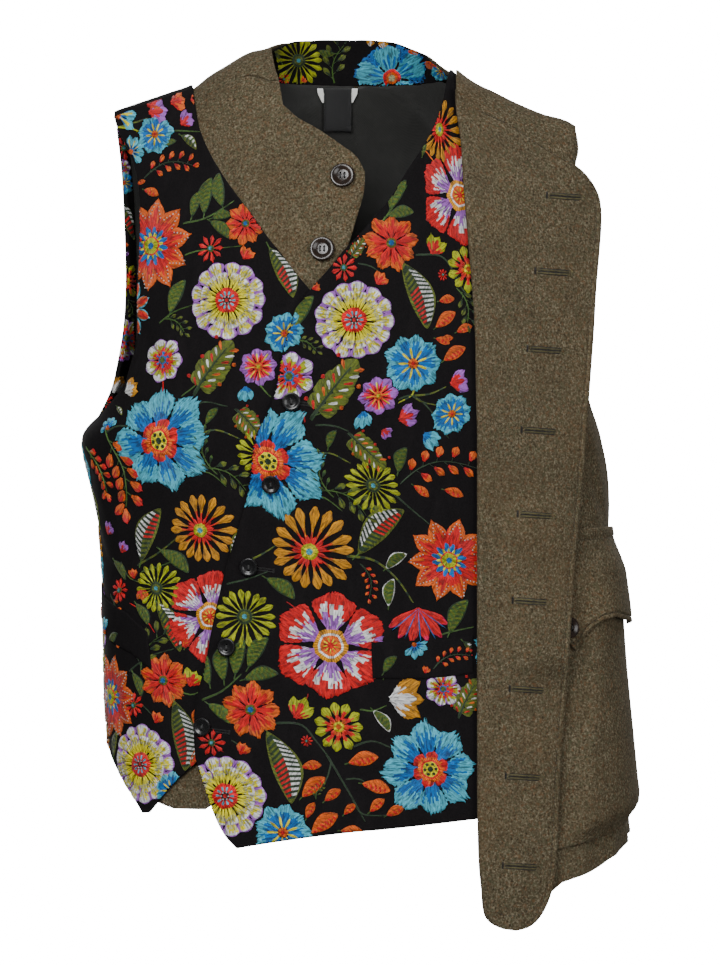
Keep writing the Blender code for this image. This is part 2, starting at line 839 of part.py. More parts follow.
def lining_back_right(satin):
    def side(z):
        return seam(RIGHT_SEAM, z, BACK, EDGE_SHIFT)

    def armhole(z):
        return at(facing_inner(z) + 1.0, z)

    def foot(x):
        return on(x, band_foot(x) - SEAM_GAP)

    rows = (
        # inner edge: middle seam, foot of the neck facing; outer edge: side, armhole facing
        (on(CENTRE_BACK_X - CENTRE_GAP, -583), side(-535)),
        (on(CENTRE_BACK_X - CENTRE_GAP, -510), side(-480)),
        (on(CENTRE_BACK_X - CENTRE_GAP, -430), side(-410)),
        (on(CENTRE_BACK_X - CENTRE_GAP, -350), side(-350)),
        (on(CENTRE_BACK_X - CENTRE_GAP, -310), side(-312)),
        (on(CENTRE_BACK_X - CENTRE_GAP, -290), at(-51.5, -299.6)),
        (on(CENTRE_BACK_X - CENTRE_GAP, -255), armhole(-276)),
        (on(CENTRE_BACK_X - CENTRE_GAP, -210), armhole(-250)),
        (on(CENTRE_BACK_X - CENTRE_GAP, -160), armhole(-210)),
        (on(CENTRE_BACK_X - CENTRE_GAP, -110), armhole(-165)),
        (on(CENTRE_BACK_X - CENTRE_GAP, -60), armhole(-125)),
        (on(CENTRE_BACK_X - CENTRE_GAP, -14), armhole(-98)),
        (foot(CENTRE_BACK_X - CENTRE_GAP - 2), armhole(-94)),
        (foot(-20), armhole(-82)),
        (foot(-34), armhole(-72)),
        (foot(-46), armhole(-64)),
        (foot(-57), crest(-183, 0.82)),
        (foot(-66.5), crest(-183, 0.86)),
        (crest(-80, 0.9), crest(-184, 0.93)),
    )
    cloth("lining_back_right", BACK, rows, steady(LINING_LIFT), satin, 8, thick=LINING_WALL)


def lining_back_left(satin):
    def side(z):
        return seam(LEFT_SEAM, z, BACK, EDGE_SHIFT)

    def foot(x):
        return on(x, band_foot(x) - SEAM_GAP)

    rows = (
        # inner edge: middle seam, foot of the neck facing; outer edge: side, armhole
        (on(CENTRE_BACK_X + CENTRE_GAP, -583), side(-606)),
        (on(CENTRE_BACK_X + CENTRE_GAP, -510), side(-540)),
        (on(CENTRE_BACK_X + CENTRE_GAP, -430), side(-460)),
        (on(CENTRE_BACK_X + CENTRE_GAP, -350), side(-375)),
        (on(CENTRE_BACK_X + CENTRE_GAP, -300), side(-306)),
        (on(CENTRE_BACK_X + CENTRE_GAP, -255), at(82, -275)),
        (on(CENTRE_BACK_X + CENTRE_GAP, -205), at(79, -240)),
        (on(CENTRE_BACK_X + CENTRE_GAP, -150), at(78, -200)),
        (on(CENTRE_BACK_X + CENTRE_GAP, -100), at(78, -160)),
        (on(CENTRE_BACK_X + CENTRE_GAP, -55), at(78, -125)),
        (on(CENTRE_BACK_X + CENTRE_GAP, -14), at(78, -103)),
        (foot(CENTRE_BACK_X + CENTRE_GAP + 2), at(78, -100)),
        (foot(12), at(78, -91)),
        (foot(26), at(78, -83)),
        (foot(40), at(79, -76)),
        (foot(54), crest(170, 0.83)),
        (foot(66.5), crest(170, 0.87)),
        (crest(80, 0.88), crest(170, 0.92)),
    )
    cloth("lining_back_left", BACK, rows, steady(LINING_LIFT), satin, 8, thick=LINING_WALL)


def neck_facing(velvet):
    rows = (
        # foot, neck edge, from the wearer's right to the left
        (on(-66, band_foot(-66)), crest(-70.5, 0.97)),
        (on(-57, band_foot(-57)), on(-57, 21.5)),
        (on(-46, band_foot(-46)), on(-44, 22.5)),
        (on(-34, band_foot(-34)), on(-31, 23)),
        (on(-20, band_foot(-20)), on(-18, 23)),
        (on(-5, band_foot(-5)), on(-3, 23)),
        (on(12, band_foot(12)), on(13, 22.5)),
        (on(26, band_foot(26)), on(27, 21)),
        (on(40, band_foot(40)), on(41, 16)),
        (on(54, band_foot(54)), on(56, 8)),
        (on(66, band_foot(66)), on(70, 0)),
    )

    def lift(point, u, v):
        return LINING_LIFT - NECK_FACING_DIP * ease(u)

    cloth("neck_facing", BACK, rows, lift, velvet, 4, thick=LINING_WALL)


def armhole_facing_right(velvet):
    """A strip inside the armhole's edge, and its rim turned out round the tweed's edge."""
    outer, inner = [], []
    rim_out = FIRST_LIFT + CLOTH_WALL + LAYER_AIR / 2
    rows = [(at(edge, z), at(inside, z)) for z, edge, inside in ARMHOLE_FACING]
    for section in smooth_sections(BACK, rows, ALONG_STEP):
        edge, inside = section[0], section[2]
        # degrees at each column, with the height of the outer face there
        profile = (
            (math.degrees(inside), LINING_WALL),
            (math.degrees(mix(inside, edge, 0.5)), LINING_WALL),
            (math.degrees(edge) - 0.4, LINING_WALL),
            (math.degrees(edge) - 0.6, rim_out),
            (math.degrees(edge) - 1.9, rim_out),
        )
        outer.append([])
        inner.append([])
        for degrees, top in profile:
            point, out = figure_frame(BACK, math.radians(degrees), section[1])
            inner[-1].append(point)
            outer[-1].append(point + out * top)
    wall("armhole_facing_right", outer, inner, velvet)


# ---------------------------------------------------------------- pockets


def welt_left_front(velvet):
    def lift(point, u, v):
        return left_velvet_lift(point) + CLOTH_WALL + SEAM_GAP

    rows = (
        # foot, top edge, from the closing edge to the side
        (on(10, -492.5), on(9, -463)),
        (on(40, -492.5), on(40, -462)),
        (on(66, -491.5), on(66, -461)),
        (on(90, -488), on(90, -457.5)),
    )
    cloth("welt_left_front", FRONT, rows, lift, velvet, 2, thick=1.2, step=14)


def welt_right_front(velvet):
    rows = (
        # foot, top edge, from the closing edge to the side
        (on(-163.5, -486), on(-167, -455)),
        (on(-179, -472), on(-182, -440)),
        (at(-80, -458), at(-80, -427)),
        (at(-92, -446), at(-92, -415)),
        (at(-103, -440), at(-103, -409)),
    )
    lift = steady(SECOND_LIFT + CLOTH_WALL + 2 * SEAM_GAP)
    cloth("welt_right_front", FRONT, rows, lift, velvet, 2, thick=1.2, step=14)


free_edge_x = curve_of(FREE_EDGE, 1)


def pocket_puff(point):
    """The pocket lies flat under the turned-back edge and swells beyond it."""
    full = mix(POCKET_PUFF_TOP, POCKET_PUFF_BOTTOM, clamp((-400 - point.z) / 200, 0, 1))
    if point.y > 0:
        return full
    return full * ease((point.x - free_edge_x(point.z)) / PUFF_START)


def bellows_pocket(tweed):
    def lift(point, u, v):
        side = min(u, 1 - u) / POCKET_RIM
        foot = v / POCKET_RIM
        puff = ease(side * 1.6) * ease(foot * 1.6) * pocket_puff(point)
        return left_velvet_lift(point) + LAYER + CLOTH_WALL + 2 * SEAM_GAP + hem_fold(point) + puff

    rows = (
        # towards the front, towards the back, from the foot up
        (on(141, -634), at(94, -601), on(190, -621)),
        (on(135, -626), at(98, -592), on(190, -611)),
        (on(133, -612), at(99, -578), on(190, -597)),
        (on(132, -590), at(99.5, -556)),
        (on(131, -556), at(99.5, -520)),
        (on(130, -520), at(99, -486)),
        (on(130, -480), at(98.5, -462)),
        (on(130, -428), at(98, -422)),
    )
    cloth("bellows_pocket", FRONT, rows, lift, tweed, 14, step=22)


def pocket_flap(tweed):
    def lift(point, u, v):
        low = left_velvet_lift(point) + LAYER + CLOTH_WALL + SEAM_GAP
        return low + mix(0.2, pocket_puff(point) + LAYER + 1.0, ease(u * 2.0))

    rows = (
        # seam, scalloped edge, from the front towards the back
        (on(130, -373), on(133, -446)),
        (on(142, -372), on(145, -450)),
        (on(153, -372), on(156, -459)),
        (on(165, -371.5), seen(176, -470, 15)),
        (on(176, -371), seen(186.3, -455, 18)),
        (at(72, -370.5), seen(196, -445.5, 19)),
        (at(79, -370), seen(205, -443, 19)),
        (at(86, -370), seen(212.5, -445.5, 19)),
        (at(93, -370), at(97, -450)),
    )
    cloth("pocket_flap", FRONT, rows, lift, tweed, 5, step=20)


# ---------------------------------------------------------------- trims inside the neck


def blank_label(satin):
    rows = (
        # left edge, right edge, from the foot up
        (on(-30, -46), on(-7.3, -46)),
        (on(-30, -28), on(-7.3, -28)),
        (on(-30, -11), on(-7.3, -11)),
    )
    cloth("blank_label", BACK, rows, steady(-3.8), satin, 3, thick=1.0, step=20)


def hanger_loop(tape):
    """A tape whose two ends go in under the neck facing, folded flat behind the label."""
    rows = (
        # outer edge, inner edge, along the tape
        (on(-35.5, -11.5), on(-30.6, -11.5)),
        (on(-34.8, -15.5), on(-30.0, -15.5)),
        (on(-31.3, -23), on(-27, -18.5)),
        (on(-18.5, -25.5), on(-18.5, -20.5)),
        (on(-6.0, -23), on(-10.2, -18.5)),
        (on(-2.2, -15.5), on(-7.1, -15.5)),
        (on(-1.8, -11.5), on(-6.7, -11.5)),
    )
    cloth("hanger_loop", BACK, rows, steady(-2.4), tape, 1, thick=1.0, step=8)


# ---------------------------------------------------------------- buttons


def button(name, spot, lift, size, horn):
    """A turned button with a dished face, lying on the cloth."""
    width, thick, dish_width, dish = size
    point, out = figure_frame(FRONT, *spot)
    foot = point + out * lift
    across = Vector((0, 0, 1)).cross(out).normalized()
    up = out.cross(across)
    profile = (
        # radius, height
        (width * 0.34, 0.0),
        (width * 0.47, thick * 0.3),
        (width * 0.5, thick * 0.62),
        (width * 0.44, thick),
        (dish_width / 2, thick),
        (dish_width * 0.38, thick - dish),
    )
    points, faces = [], []
    for radius, height in profile:
        for k in range(BUTTON_SIDES):
            angle = 2 * math.pi * k / BUTTON_SIDES
            spread = across * math.cos(angle) + up * math.sin(angle)
            points.append(foot + spread * radius + out * height)
    for ring in range(len(profile) - 1):
        for k in range(BUTTON_SIDES):
            after = (k + 1) % BUTTON_SIDES
            low, high = ring * BUTTON_SIDES, (ring + 1) * BUTTON_SIDES
            faces.append((low + k, low + after, high + after, high + k))
    faces.append(tuple(reversed(range(BUTTON_SIDES))))
    last = (len(profile) - 1) * BUTTON_SIDES
    faces.append(tuple(last + k for k in range(BUTTON_SIDES)))
    finish(name, points, faces, horn)


# Black buttons along the closing edge: x, z
CLOSING_BUTTONS = ((-54.3, -269), (-70.5, -334.5), (-87.5, -402), (-104.5, -467.5), (-123, -532))
# Horn buttons on the tweed right front: x, z
NECK_BUTTONS = ((-13.8, -87.5), (-30, -146.6))
FLAP_BUTTON_SPOT = (160.5, -452)


def buttons(black, horn):
    for number, (x, z) in enumerate(CLOSING_BUTTONS, 1):
        button(f"black_button_{number}", on(x, z), THIRD_LIFT + CLOTH_WALL + SEAM_GAP, BLACK_BUTTON, black)
    for number, (x, z) in enumerate(NECK_BUTTONS, 1):
        button(f"horn_button_{number}", on(x, z), FIRST_LIFT + CLOTH_WALL + SEAM_GAP, HORN_BUTTON, horn)
    spot = on(*FLAP_BUTTON_SPOT)
    puff = pocket_puff(figure_point(FRONT, *spot))
    flap_top = SECOND_LIFT + CLOTH_WALL + SEAM_GAP + puff + LAYER + CLOTH_WALL
    button("flap_button", spot, flap_top + 4 * SEAM_GAP + 1.0, FLAP_BUTTON, horn)


# ---------------------------------------------------------------- the garment


def main():
    for obj in list(bpy.data.objects):
        bpy.data.objects.remove(obj)
    velvet = paint("embroidered_velvet", (0.02, 0.018, 0.02), 0.85)
    facing = paint("velvet_facing", (0.03, 0.02, 0.03), 0.85)
    tweed = paint("olive_brown_tweed", (0.105, 0.085, 0.055), 0.95)
    shade_tweed = paint("tweed_underlayer", (0.08, 0.065, 0.04), 0.95)
    satin = paint("charcoal_lining", (0.017, 0.017, 0.016), 0.5)
    tape = paint("white_tape", (0.8, 0.8, 0.78), 0.7)
    black = paint("black_button", (0.012, 0.012, 0.014), 0.25)
    horn = paint("dark_horn", (0.03, 0.018, 0.012), 0.3)
    embroidered_right_front(velvet)
    embroidered_left_front(velvet)
    tweed_right_front(shade_tweed)
    tweed_left_front(tweed)
    tweed_left_turnback(tweed)
    tweed_back_right(tweed)
    tweed_back_left(tweed)
    lining_back_right(satin)
    lining_back_left(satin)
    neck_facing(facing)
    armhole_facing_right(facing)
    welt_left_front(facing)
    welt_right_front(facing)
    bellows_pocket(tweed)
    pocket_flap(tweed)
    blank_label(satin)
    hanger_loop(tape)
    buttons(black, horn)


main()
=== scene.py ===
"""Looks of the two-layer embroidered waistcoat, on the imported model's frame.

The cloth lies on the same general figure as the solids do, so the figure and each piece's table
of sections are repeated here. Lengths are in millimetres up to the making of a mesh.
"""

import math
import random
from functools import partial

import bpy
import numpy as np
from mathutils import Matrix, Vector
from mathutils.bvhtree import BVHTree


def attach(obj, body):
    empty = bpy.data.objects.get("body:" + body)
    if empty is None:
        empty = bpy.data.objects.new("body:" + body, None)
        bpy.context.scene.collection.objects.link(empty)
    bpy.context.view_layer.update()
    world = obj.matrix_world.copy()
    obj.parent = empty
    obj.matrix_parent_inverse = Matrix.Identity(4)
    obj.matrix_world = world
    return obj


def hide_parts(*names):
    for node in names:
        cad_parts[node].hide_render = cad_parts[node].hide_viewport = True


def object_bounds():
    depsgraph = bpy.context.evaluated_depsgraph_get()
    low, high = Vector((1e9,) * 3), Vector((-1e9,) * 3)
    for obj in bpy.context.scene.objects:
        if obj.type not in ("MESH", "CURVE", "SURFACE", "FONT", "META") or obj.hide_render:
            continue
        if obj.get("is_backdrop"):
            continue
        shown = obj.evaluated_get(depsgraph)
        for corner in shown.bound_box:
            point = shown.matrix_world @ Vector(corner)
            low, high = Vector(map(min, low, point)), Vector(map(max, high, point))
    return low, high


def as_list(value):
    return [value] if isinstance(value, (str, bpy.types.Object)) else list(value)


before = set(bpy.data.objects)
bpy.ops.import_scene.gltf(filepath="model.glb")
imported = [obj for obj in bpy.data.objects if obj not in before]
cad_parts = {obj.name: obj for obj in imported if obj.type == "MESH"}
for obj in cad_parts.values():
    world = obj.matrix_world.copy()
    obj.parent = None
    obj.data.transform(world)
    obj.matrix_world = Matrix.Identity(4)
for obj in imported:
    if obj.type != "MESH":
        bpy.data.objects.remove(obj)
cad_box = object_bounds()

MM = 0.001
BODY = "root"
CHART = 0.81  # millimetres in one unit of the embroidery charts, which is one pixel of the photo
CHART_X, CHART_Z = 360, 70  # the origin's place in the charts

# Fine steps of the cloth shells
PITCH, TRIM_PITCH = 5.0, 2.5
EDGE = 0.9  # width of the rounded border
EDGE_DROP = 0.42  # how far the rounded border falls, as a share of the cloth's thickness
ROLL_TURNS = 12  # steps round the roll of the turned-back edge
SEAM_INSET, SEAM_HALF, SEAM_DEPTH = 4.2, 0.8, 0.9  # the groove of a topstitched edge
SEAM_COLUMNS = (6.4, 5.4, 4.8, 4.2, 3.6, 2.9, 1.9)  # where the mesh is finer, from the edge
FLAP_STAND = 3.0  # how far the pocket flap's foot stands off
FLAP_BAND, FLAP_BAND_END = 1.1, 0.1  # its seam allowance stands out: height, share of its length
STRIP_COLUMNS = 22  # steps across the turned-back edge

# Walls of cloth, the air between layers, and each layer's height over the figure
CLOTH_WALL, LINING_WALL, WELT_WALL, TAPE_WALL = 2.0, 1.0, 1.2, 1.0
LAYER_AIR, SEAM_GAP = 1.1, 0.3
LAYER = CLOTH_WALL + LAYER_AIR
FIRST_LIFT = LINING_WALL + LAYER_AIR
SECOND_LIFT = FIRST_LIFT + LAYER
THIRD_LIFT = SECOND_LIFT + LAYER
LABEL_LIFT, TAPE_LIFT = -3.8, -2.4  # these hang inside the lining

STEEPEST = 2.5  # a tangent is at most this many times the gentler slope beside it
CORNER_ANGLE = 20.0  # an edge that turns by more than this has a corner there
CENTRE_BACK_X = -3.0
ARMPIT_LEVEL, SHOULDER_LEVEL = -300.0, -20.0
RING_POWER = 2.3  # how square the figure's rings are; 2 is an ellipse
CAP_POWER = 1.8  # how square its shoulders are
FRONT, BACK = -1, 1
ABOVE_ALL = 900.0

FIGURE_LEVELS = (
    # level, left, right, front depth, back depth
    (-700, -195, 217, 116, 112),
    (-600, -196, 209, 114, 108),
    (-541, -197.5, 204.5, 110, 101),
    (-480, -200.5, 200, 106, 94),
    (-410, -202, 197, 104, 92),
    (-358, -207.5, 194.5, 107, 96),
    (-327, -213.5, 192.7, 110, 101),
    (-300, -219.5, 189, 112, 105),
    (-279, -209, 184.6, 113, 107),
    (-256, -200, 180, 114, 108),
    (-236, -196, 177, 114, 108),
    (-200, -191, 174, 114, 108),
    (-158, -189.6, 172, 113, 107),
    (-120, -190.5, 172, 112, 105),
    (-58, -194, 172.5, 109, 101),
    (-20, -199.5, 174, 106, 97),
)

SHOULDER_LINE = (
    # x, height
    (-230, -46), (-199, -39), (-174, -31), (-152, -23.6), (-133, -16.5), (-121, -7), (-108, 1), (-89, 12),
    (-72, 16.5), (-60, 26), (-40, 42), (0, 58), (30, 48), (50, 28), (62, 10), (73, -3), (90, -15),
    (105, -22), (123, -31), (147, -41), (166, -46.5), (176, -53), (210, -70),
)

# Side seams of the tweed: height, degrees round from the middle of the front
RIGHT_SEAM = ((-660, -136), (-300, -92))
LEFT_SEAM = ((-660, 118), (-300, 93))
VELVET_SIDE_INSET = 3.5  # degrees from the seam to the velvet right front's side edge

# The left fronts lie high where they lap the right ones, and sink to the lining at the side
LAP_START_X, LAP_END_X = -18.0, 105.0
SIDE_DIP, SHOULDER_DIP = 0.4, 0.5
SHOULDER_RISE, HEM_RISE = 0.5, 0.3
VELVET_ARMHOLE_LIFT, TWEED_ARMHOLE_LIFT = 7, 4  # the right fronts' height over the skin there

# The turned-back edge of the tweed left front
ROLL_RADIUS, ROLL_FOOT = 2.8, 0.6
TURNBACK_WALL = 2.4
TURNBACK_REST, TURNBACK_SETTLE = 3.4, 26.0  # its height when settled, and how far from the roll
TURNBACK_FREE_X = 136.0  # past this it runs straight on

# Where it rides up over the pocket, the flap and the flap's button: height from, to, how much
TURNBACK_RIDES = (
    # low z, high z, fade, start x, width of the start, extra height
    (-650, -385, 40, 106, 22, 3.2),
    (-478, -362, 18, 106, 22, 3.0),
    (-472, -434, 30, 122, 24, 5.6),
)

# Pocket on the tweed left front: how far it swells, and its rim as a share of its width
POCKET_PUFF_TOP, POCKET_PUFF_BOTTOM = 5.5, 10.0
POCKET_RIM = 0.16
FREE_EDGE = (
    # height, x of the turned-back edge, under which the pocket and flap lie flat
    (-640, 159),
    (-580, 162),
    (-538, 164.5),
    (-492, 168.5),
    (-445, 171),
    (-395, 174.6),
    (-345, 180),
)
PUFF_START = 15.0


# ---------------------------------------------------------------- the figure


def ease(value):
    """0 below 0, 1 above 1 and smooth between."""
    value = np.clip(value, 0.0, 1.0)
    return value * value * (3 - 2 * value)


def mix(first, second, share):
    return first + (second - first) * share


def signed_power(value, power):
    return np.sign(value) * np.abs(value) ** power


def slopes(keys, values):
    """The tangents of a smooth curve that keeps between the given values."""
    chords = [(values[i + 1] - values[i]) / (keys[i + 1] - keys[i]) for i in range(len(keys) - 1)]
    found = [chords[0]]
    for before, after in zip(chords, chords[1:]):
        if before * after <= 0:
            found.append(0.0)
        else:
            limit = STEEPEST * min(abs(before), abs(after))
            found.append(max(-limit, min(limit, (before + after) / 2)))
    return found + [chords[-1]]


def on_curve(keys, values, tangents, key, corners=()):
    """The curve's value at each key: smooth, but straight on each side of a corner."""
    keys, values, tangents = np.asarray(keys), np.asarray(values), np.asarray(tangents)
    key = np.clip(key, keys[0], keys[-1])
    i = np.clip(np.searchsorted(keys, key, side="left") - 1, 0, len(keys) - 2)
    width = keys[i + 1] - keys[i]
    t = (key - keys[i]) / width
    chord = (values[i + 1] - values[i]) / width
    sharp = np.zeros(len(keys), bool)
    sharp[list(corners)] = True
    leaving = np.where(sharp[i], chord, tangents[i])
    arriving = np.where(sharp[i + 1], chord, tangents[i + 1])
    return (
        (2 * t**3 - 3 * t**2 + 1) * values[i]
        + (t**3 - 2 * t**2 + t) * width * leaving
        + (3 * t**2 - 2 * t**3) * values[i + 1]
        + (t**3 - t**2) * width * arriving
    )


def curve_of(table, column):
    """A smooth function of the table's first column."""
    keys = [row[0] for row in table]
    values = [row[column] for row in table]
    tangents = slopes(keys, values)
    return lambda key: on_curve(keys, values, tangents, key)


left_of = curve_of(FIGURE_LEVELS, 1)
right_of = curve_of(FIGURE_LEVELS, 2)
front_of = curve_of(FIGURE_LEVELS, 3)
back_of = curve_of(FIGURE_LEVELS, 4)
shoulder_height = curve_of(SHOULDER_LINE, 1)


def level_of(share):
    return ARMPIT_LEVEL + share * (SHOULDER_LEVEL - ARMPIT_LEVEL)


def span_of(level):
    """The middle and half the width of the figure at a level."""
    return (left_of(level) + right_of(level)) / 2, (right_of(level) - left_of(level)) / 2


def figure_point(home, turn, rise):
    """The figure's skin. Past a quarter turn it is on the other side, and so it is past rise 1."""
    turn, rise = np.broadcast_arrays(np.asarray(turn, float), np.asarray(rise, float))
    past = np.abs(turn) > math.pi / 2
    side = np.where(past, -home, home)
    turn = np.where(past, np.copysign(math.pi, turn) - turn, turn)
    side = np.where(rise > 1, -side, side)
    rise = np.where(rise > 1, 2 - rise, rise)
    share = np.where(rise > 0, 1 - (1 - rise) ** 2, 2 * rise)
    level = level_of(share)
    middle, half = span_of(level)
    x = middle + half * signed_power(np.sin(turn), 2 / RING_POWER)
    depth = np.where(side == FRONT, front_of(level), back_of(level))
    depth = depth * np.abs(np.cos(turn)) ** (2 / RING_POWER)
    cap = (1 - np.clip(share, 0, 1) ** CAP_POWER) ** (1 / CAP_POWER)
    z = np.where(share > 0, ARMPIT_LEVEL + share * (shoulder_height(x) - ARMPIT_LEVEL), level)
    return np.stack((x, side * depth * cap, z), -1)


def figure_frame(home, turn, rise):
    """The skin's point, and the direction straight out of it."""
    tiny = 0.004
    across = figure_point(home, turn + tiny, rise) - figure_point(home, turn - tiny, rise)
    up = figure_point(home, turn, rise + tiny) - figure_point(home, turn, rise - tiny)
    out = np.cross(across, up) * -home
    return figure_point(home, turn, rise), out / np.linalg.norm(out, axis=-1, keepdims=True)


def rise_of(share):
    return np.where(share > 0, 1 - np.sqrt(np.clip(1 - share, 0, None)), share / 2)


def on(x, z):
    """A spot, as (turn, rise), on the side that a piece starts from."""
    height = np.where(np.asarray(z) > ARMPIT_LEVEL, shoulder_height(x), SHOULDER_LEVEL)
    share = np.minimum((z - ARMPIT_LEVEL) / (height - ARMPIT_LEVEL), 1)
    middle, half = span_of(level_of(share))
    sine = signed_power(np.clip((x - middle) / half, -1, 1), RING_POWER / 2)
    return np.arcsin(sine), rise_of(share)


def seen(x, z, lift):
    """A spot whose point, lifted off the skin, has this x and z."""
    base_x, base_z = x, z
    for _ in range(8):
        point, out = figure_frame(FRONT, *on(base_x, base_z))
        point = point + out * np.expand_dims(lift, -1)
        base_x = base_x + (x - point[..., 0]) * 0.8
        base_z = base_z + (z - point[..., 2]) * 0.8
    return on(base_x, base_z)


def over(x, z):
    """A spot past the shoulder line, on the other side."""
    turn, rise = on(x, z)
    return turn, 2 - rise


def crest(x, rise):
    """A spot close to the shoulder line."""
    return on(x, ABOVE_ALL)[0], rise


def at(degrees, z):
    """A spot at an angle round from the middle of a piece's side."""
    height = SHOULDER_LEVEL
    turn = math.radians(degrees)
    if z > ARMPIT_LEVEL:
        for _ in range(6):
            share = min((z - ARMPIT_LEVEL) / (height - ARMPIT_LEVEL), 1)
            middle, half = span_of(level_of(share))
            height = shoulder_height(middle + half * signed_power(math.sin(turn), 2 / RING_POWER))
    return turn, rise_of(min((z - ARMPIT_LEVEL) / (height - ARMPIT_LEVEL), 1))


def seam(table, z, home, shift=0.0):
    """A spot on a side seam, kept back from it by shift degrees."""
    low, high = table
    degrees = mix(low[1], high[1], (z - low[0]) / (high[0] - low[0]))
    if home == BACK:
        degrees = math.copysign(180, degrees) - degrees
    return at(degrees - math.copysign(shift, degrees), z)


def angle_round(point):
    """Degrees round the body from the middle of the front, to the wearer's left."""
    x, y, z = point[..., 0], point[..., 1], point[..., 2]
    deep = np.where(y < 0, front_of(z), back_of(z))
    return np.degrees(np.arctan2(x, -y * right_of(z) / deep))


# ---------------------------------------------------------------- creases

MM_PER_DEGREE = 3.0
# Soft folds in every layer: where each starts and ends, half width, height (a trough below 0)
CREASES = (
    # degrees, z, degrees, z, half width, height
    (-86, -312, -52, -352, 9, -1.9),
    (-80, -322, -40, -392, 11, 1.5),
    (-92, -340, -62, -420, 9, -1.5),
    (-70, -190, -44, -262, 10, -1.5),
    (-62, -110, -30, -190, 12, 1.4),
    (-26, -262, -6, -276, 6, 1.3),
    (-30, -338, -2, -346, 7, -1.4),
    (-36, -404, -8, -398, 7, 1.2),
    (-40, -468, -10, -480, 8, -1.4),
    (-46, -528, -22, -548, 8, 1.2),
    (-72, -486, -58, -560, 10, -1.8),
    (-98, -430, -88, -530, 9, 1.8),
    (-118, -380, -104, -500, 12, -2.0),
    (14, -120, 24, -240, 10, -1.3),
    (4, -250, 22, -330, 9, 1.1),
    (8, -400, 26, -470, 9, -1.2),
    (2, -560, 20, -530, 8, 1.3),
    (66, -300, 76, -360, 9, -1.8),
    (84, -310, 104, -372, 11, 1.8),
    (112, -330, 96, -470, 11, -2.2),
    (60, -120, 66, -250, 9, -1.4),
    (150, -200, 166, -330, 14, -2.2),
    (128, -330, 172, -372, 12, -2.4),
    (134, -372, 168, -402, 12, 2.2),
    (-160, -330, -130, -380, 13, -2.4),
    (-150, -396, -176, -420, 12, 2.0),
    (-172, -440, -150, -560, 16, 2.2),
    (160, -440, 148, -590, 15, -2.4),
    (-134, -460, -126, -560, 13, -2.0),
    (-146, -90, -164, -190, 13, -1.9),
    (126, -120, 140, -240, 12, 1.8),
    (-128, -200, -150, -300, 12, 1.7),
)


def drape(point):
    """How far the cloth stands out or in here."""
    degrees, z = angle_round(point), point[..., 2]
    total = np.zeros(degrees.shape)
    for degrees_a, z_a, degrees_b, z_b, half_width, height in CREASES:
        across = (degrees - degrees_a + 180) % 360 - 180
        dx, dz = (degrees_b - degrees_a) * MM_PER_DEGREE, z_b - z_a
        length = math.hypot(dx, dz)
        px, pz = across * MM_PER_DEGREE, z - z_a
        along = (px * dx + pz * dz) / length
        bow = 0.09 * length * np.sin(math.pi * np.clip(along / length, 0, 1))
        off = (px * dz - pz * dx) / length - bow
        ends = ease((along / length + 0.25) / 0.5) * ease((1.25 - along / length) / 0.5)
        total += height * ends * np.exp(-((off / half_width) ** 2))
    return total


# ---------------------------------------------------------------- cloth shells


def section_of(row):
    """One section's numbers: its two end spots, and how far its middle bows up from the line."""
    start, end = row[0], row[1]
    bow = 0.0
    if len(row) == 3:
        share = (row[2][0] - start[0]) / (end[0] - start[0])
        bow = (row[2][1] - mix(start[1], end[1], share)) / (4 * share * (1 - share))
    return tuple(float(value) for value in (*start, *end, bow))


def corners_of(points):
    """Which of an edge's points are corners."""
    found = set()
    for i in range(1, len(points) - 1):
        before, after = Vector(points[i] - points[i - 1]), Vector(points[i + 1] - points[i])
        if before.length and after.length and math.degrees(before.angle(after)) > CORNER_ANGLE:
            found.add(i)
    return found


def flat_pairs(across, along):
    """Flat places in metres, from two grids of millimetres."""
    return np.stack(np.broadcast_arrays(across, along), -1) * MM


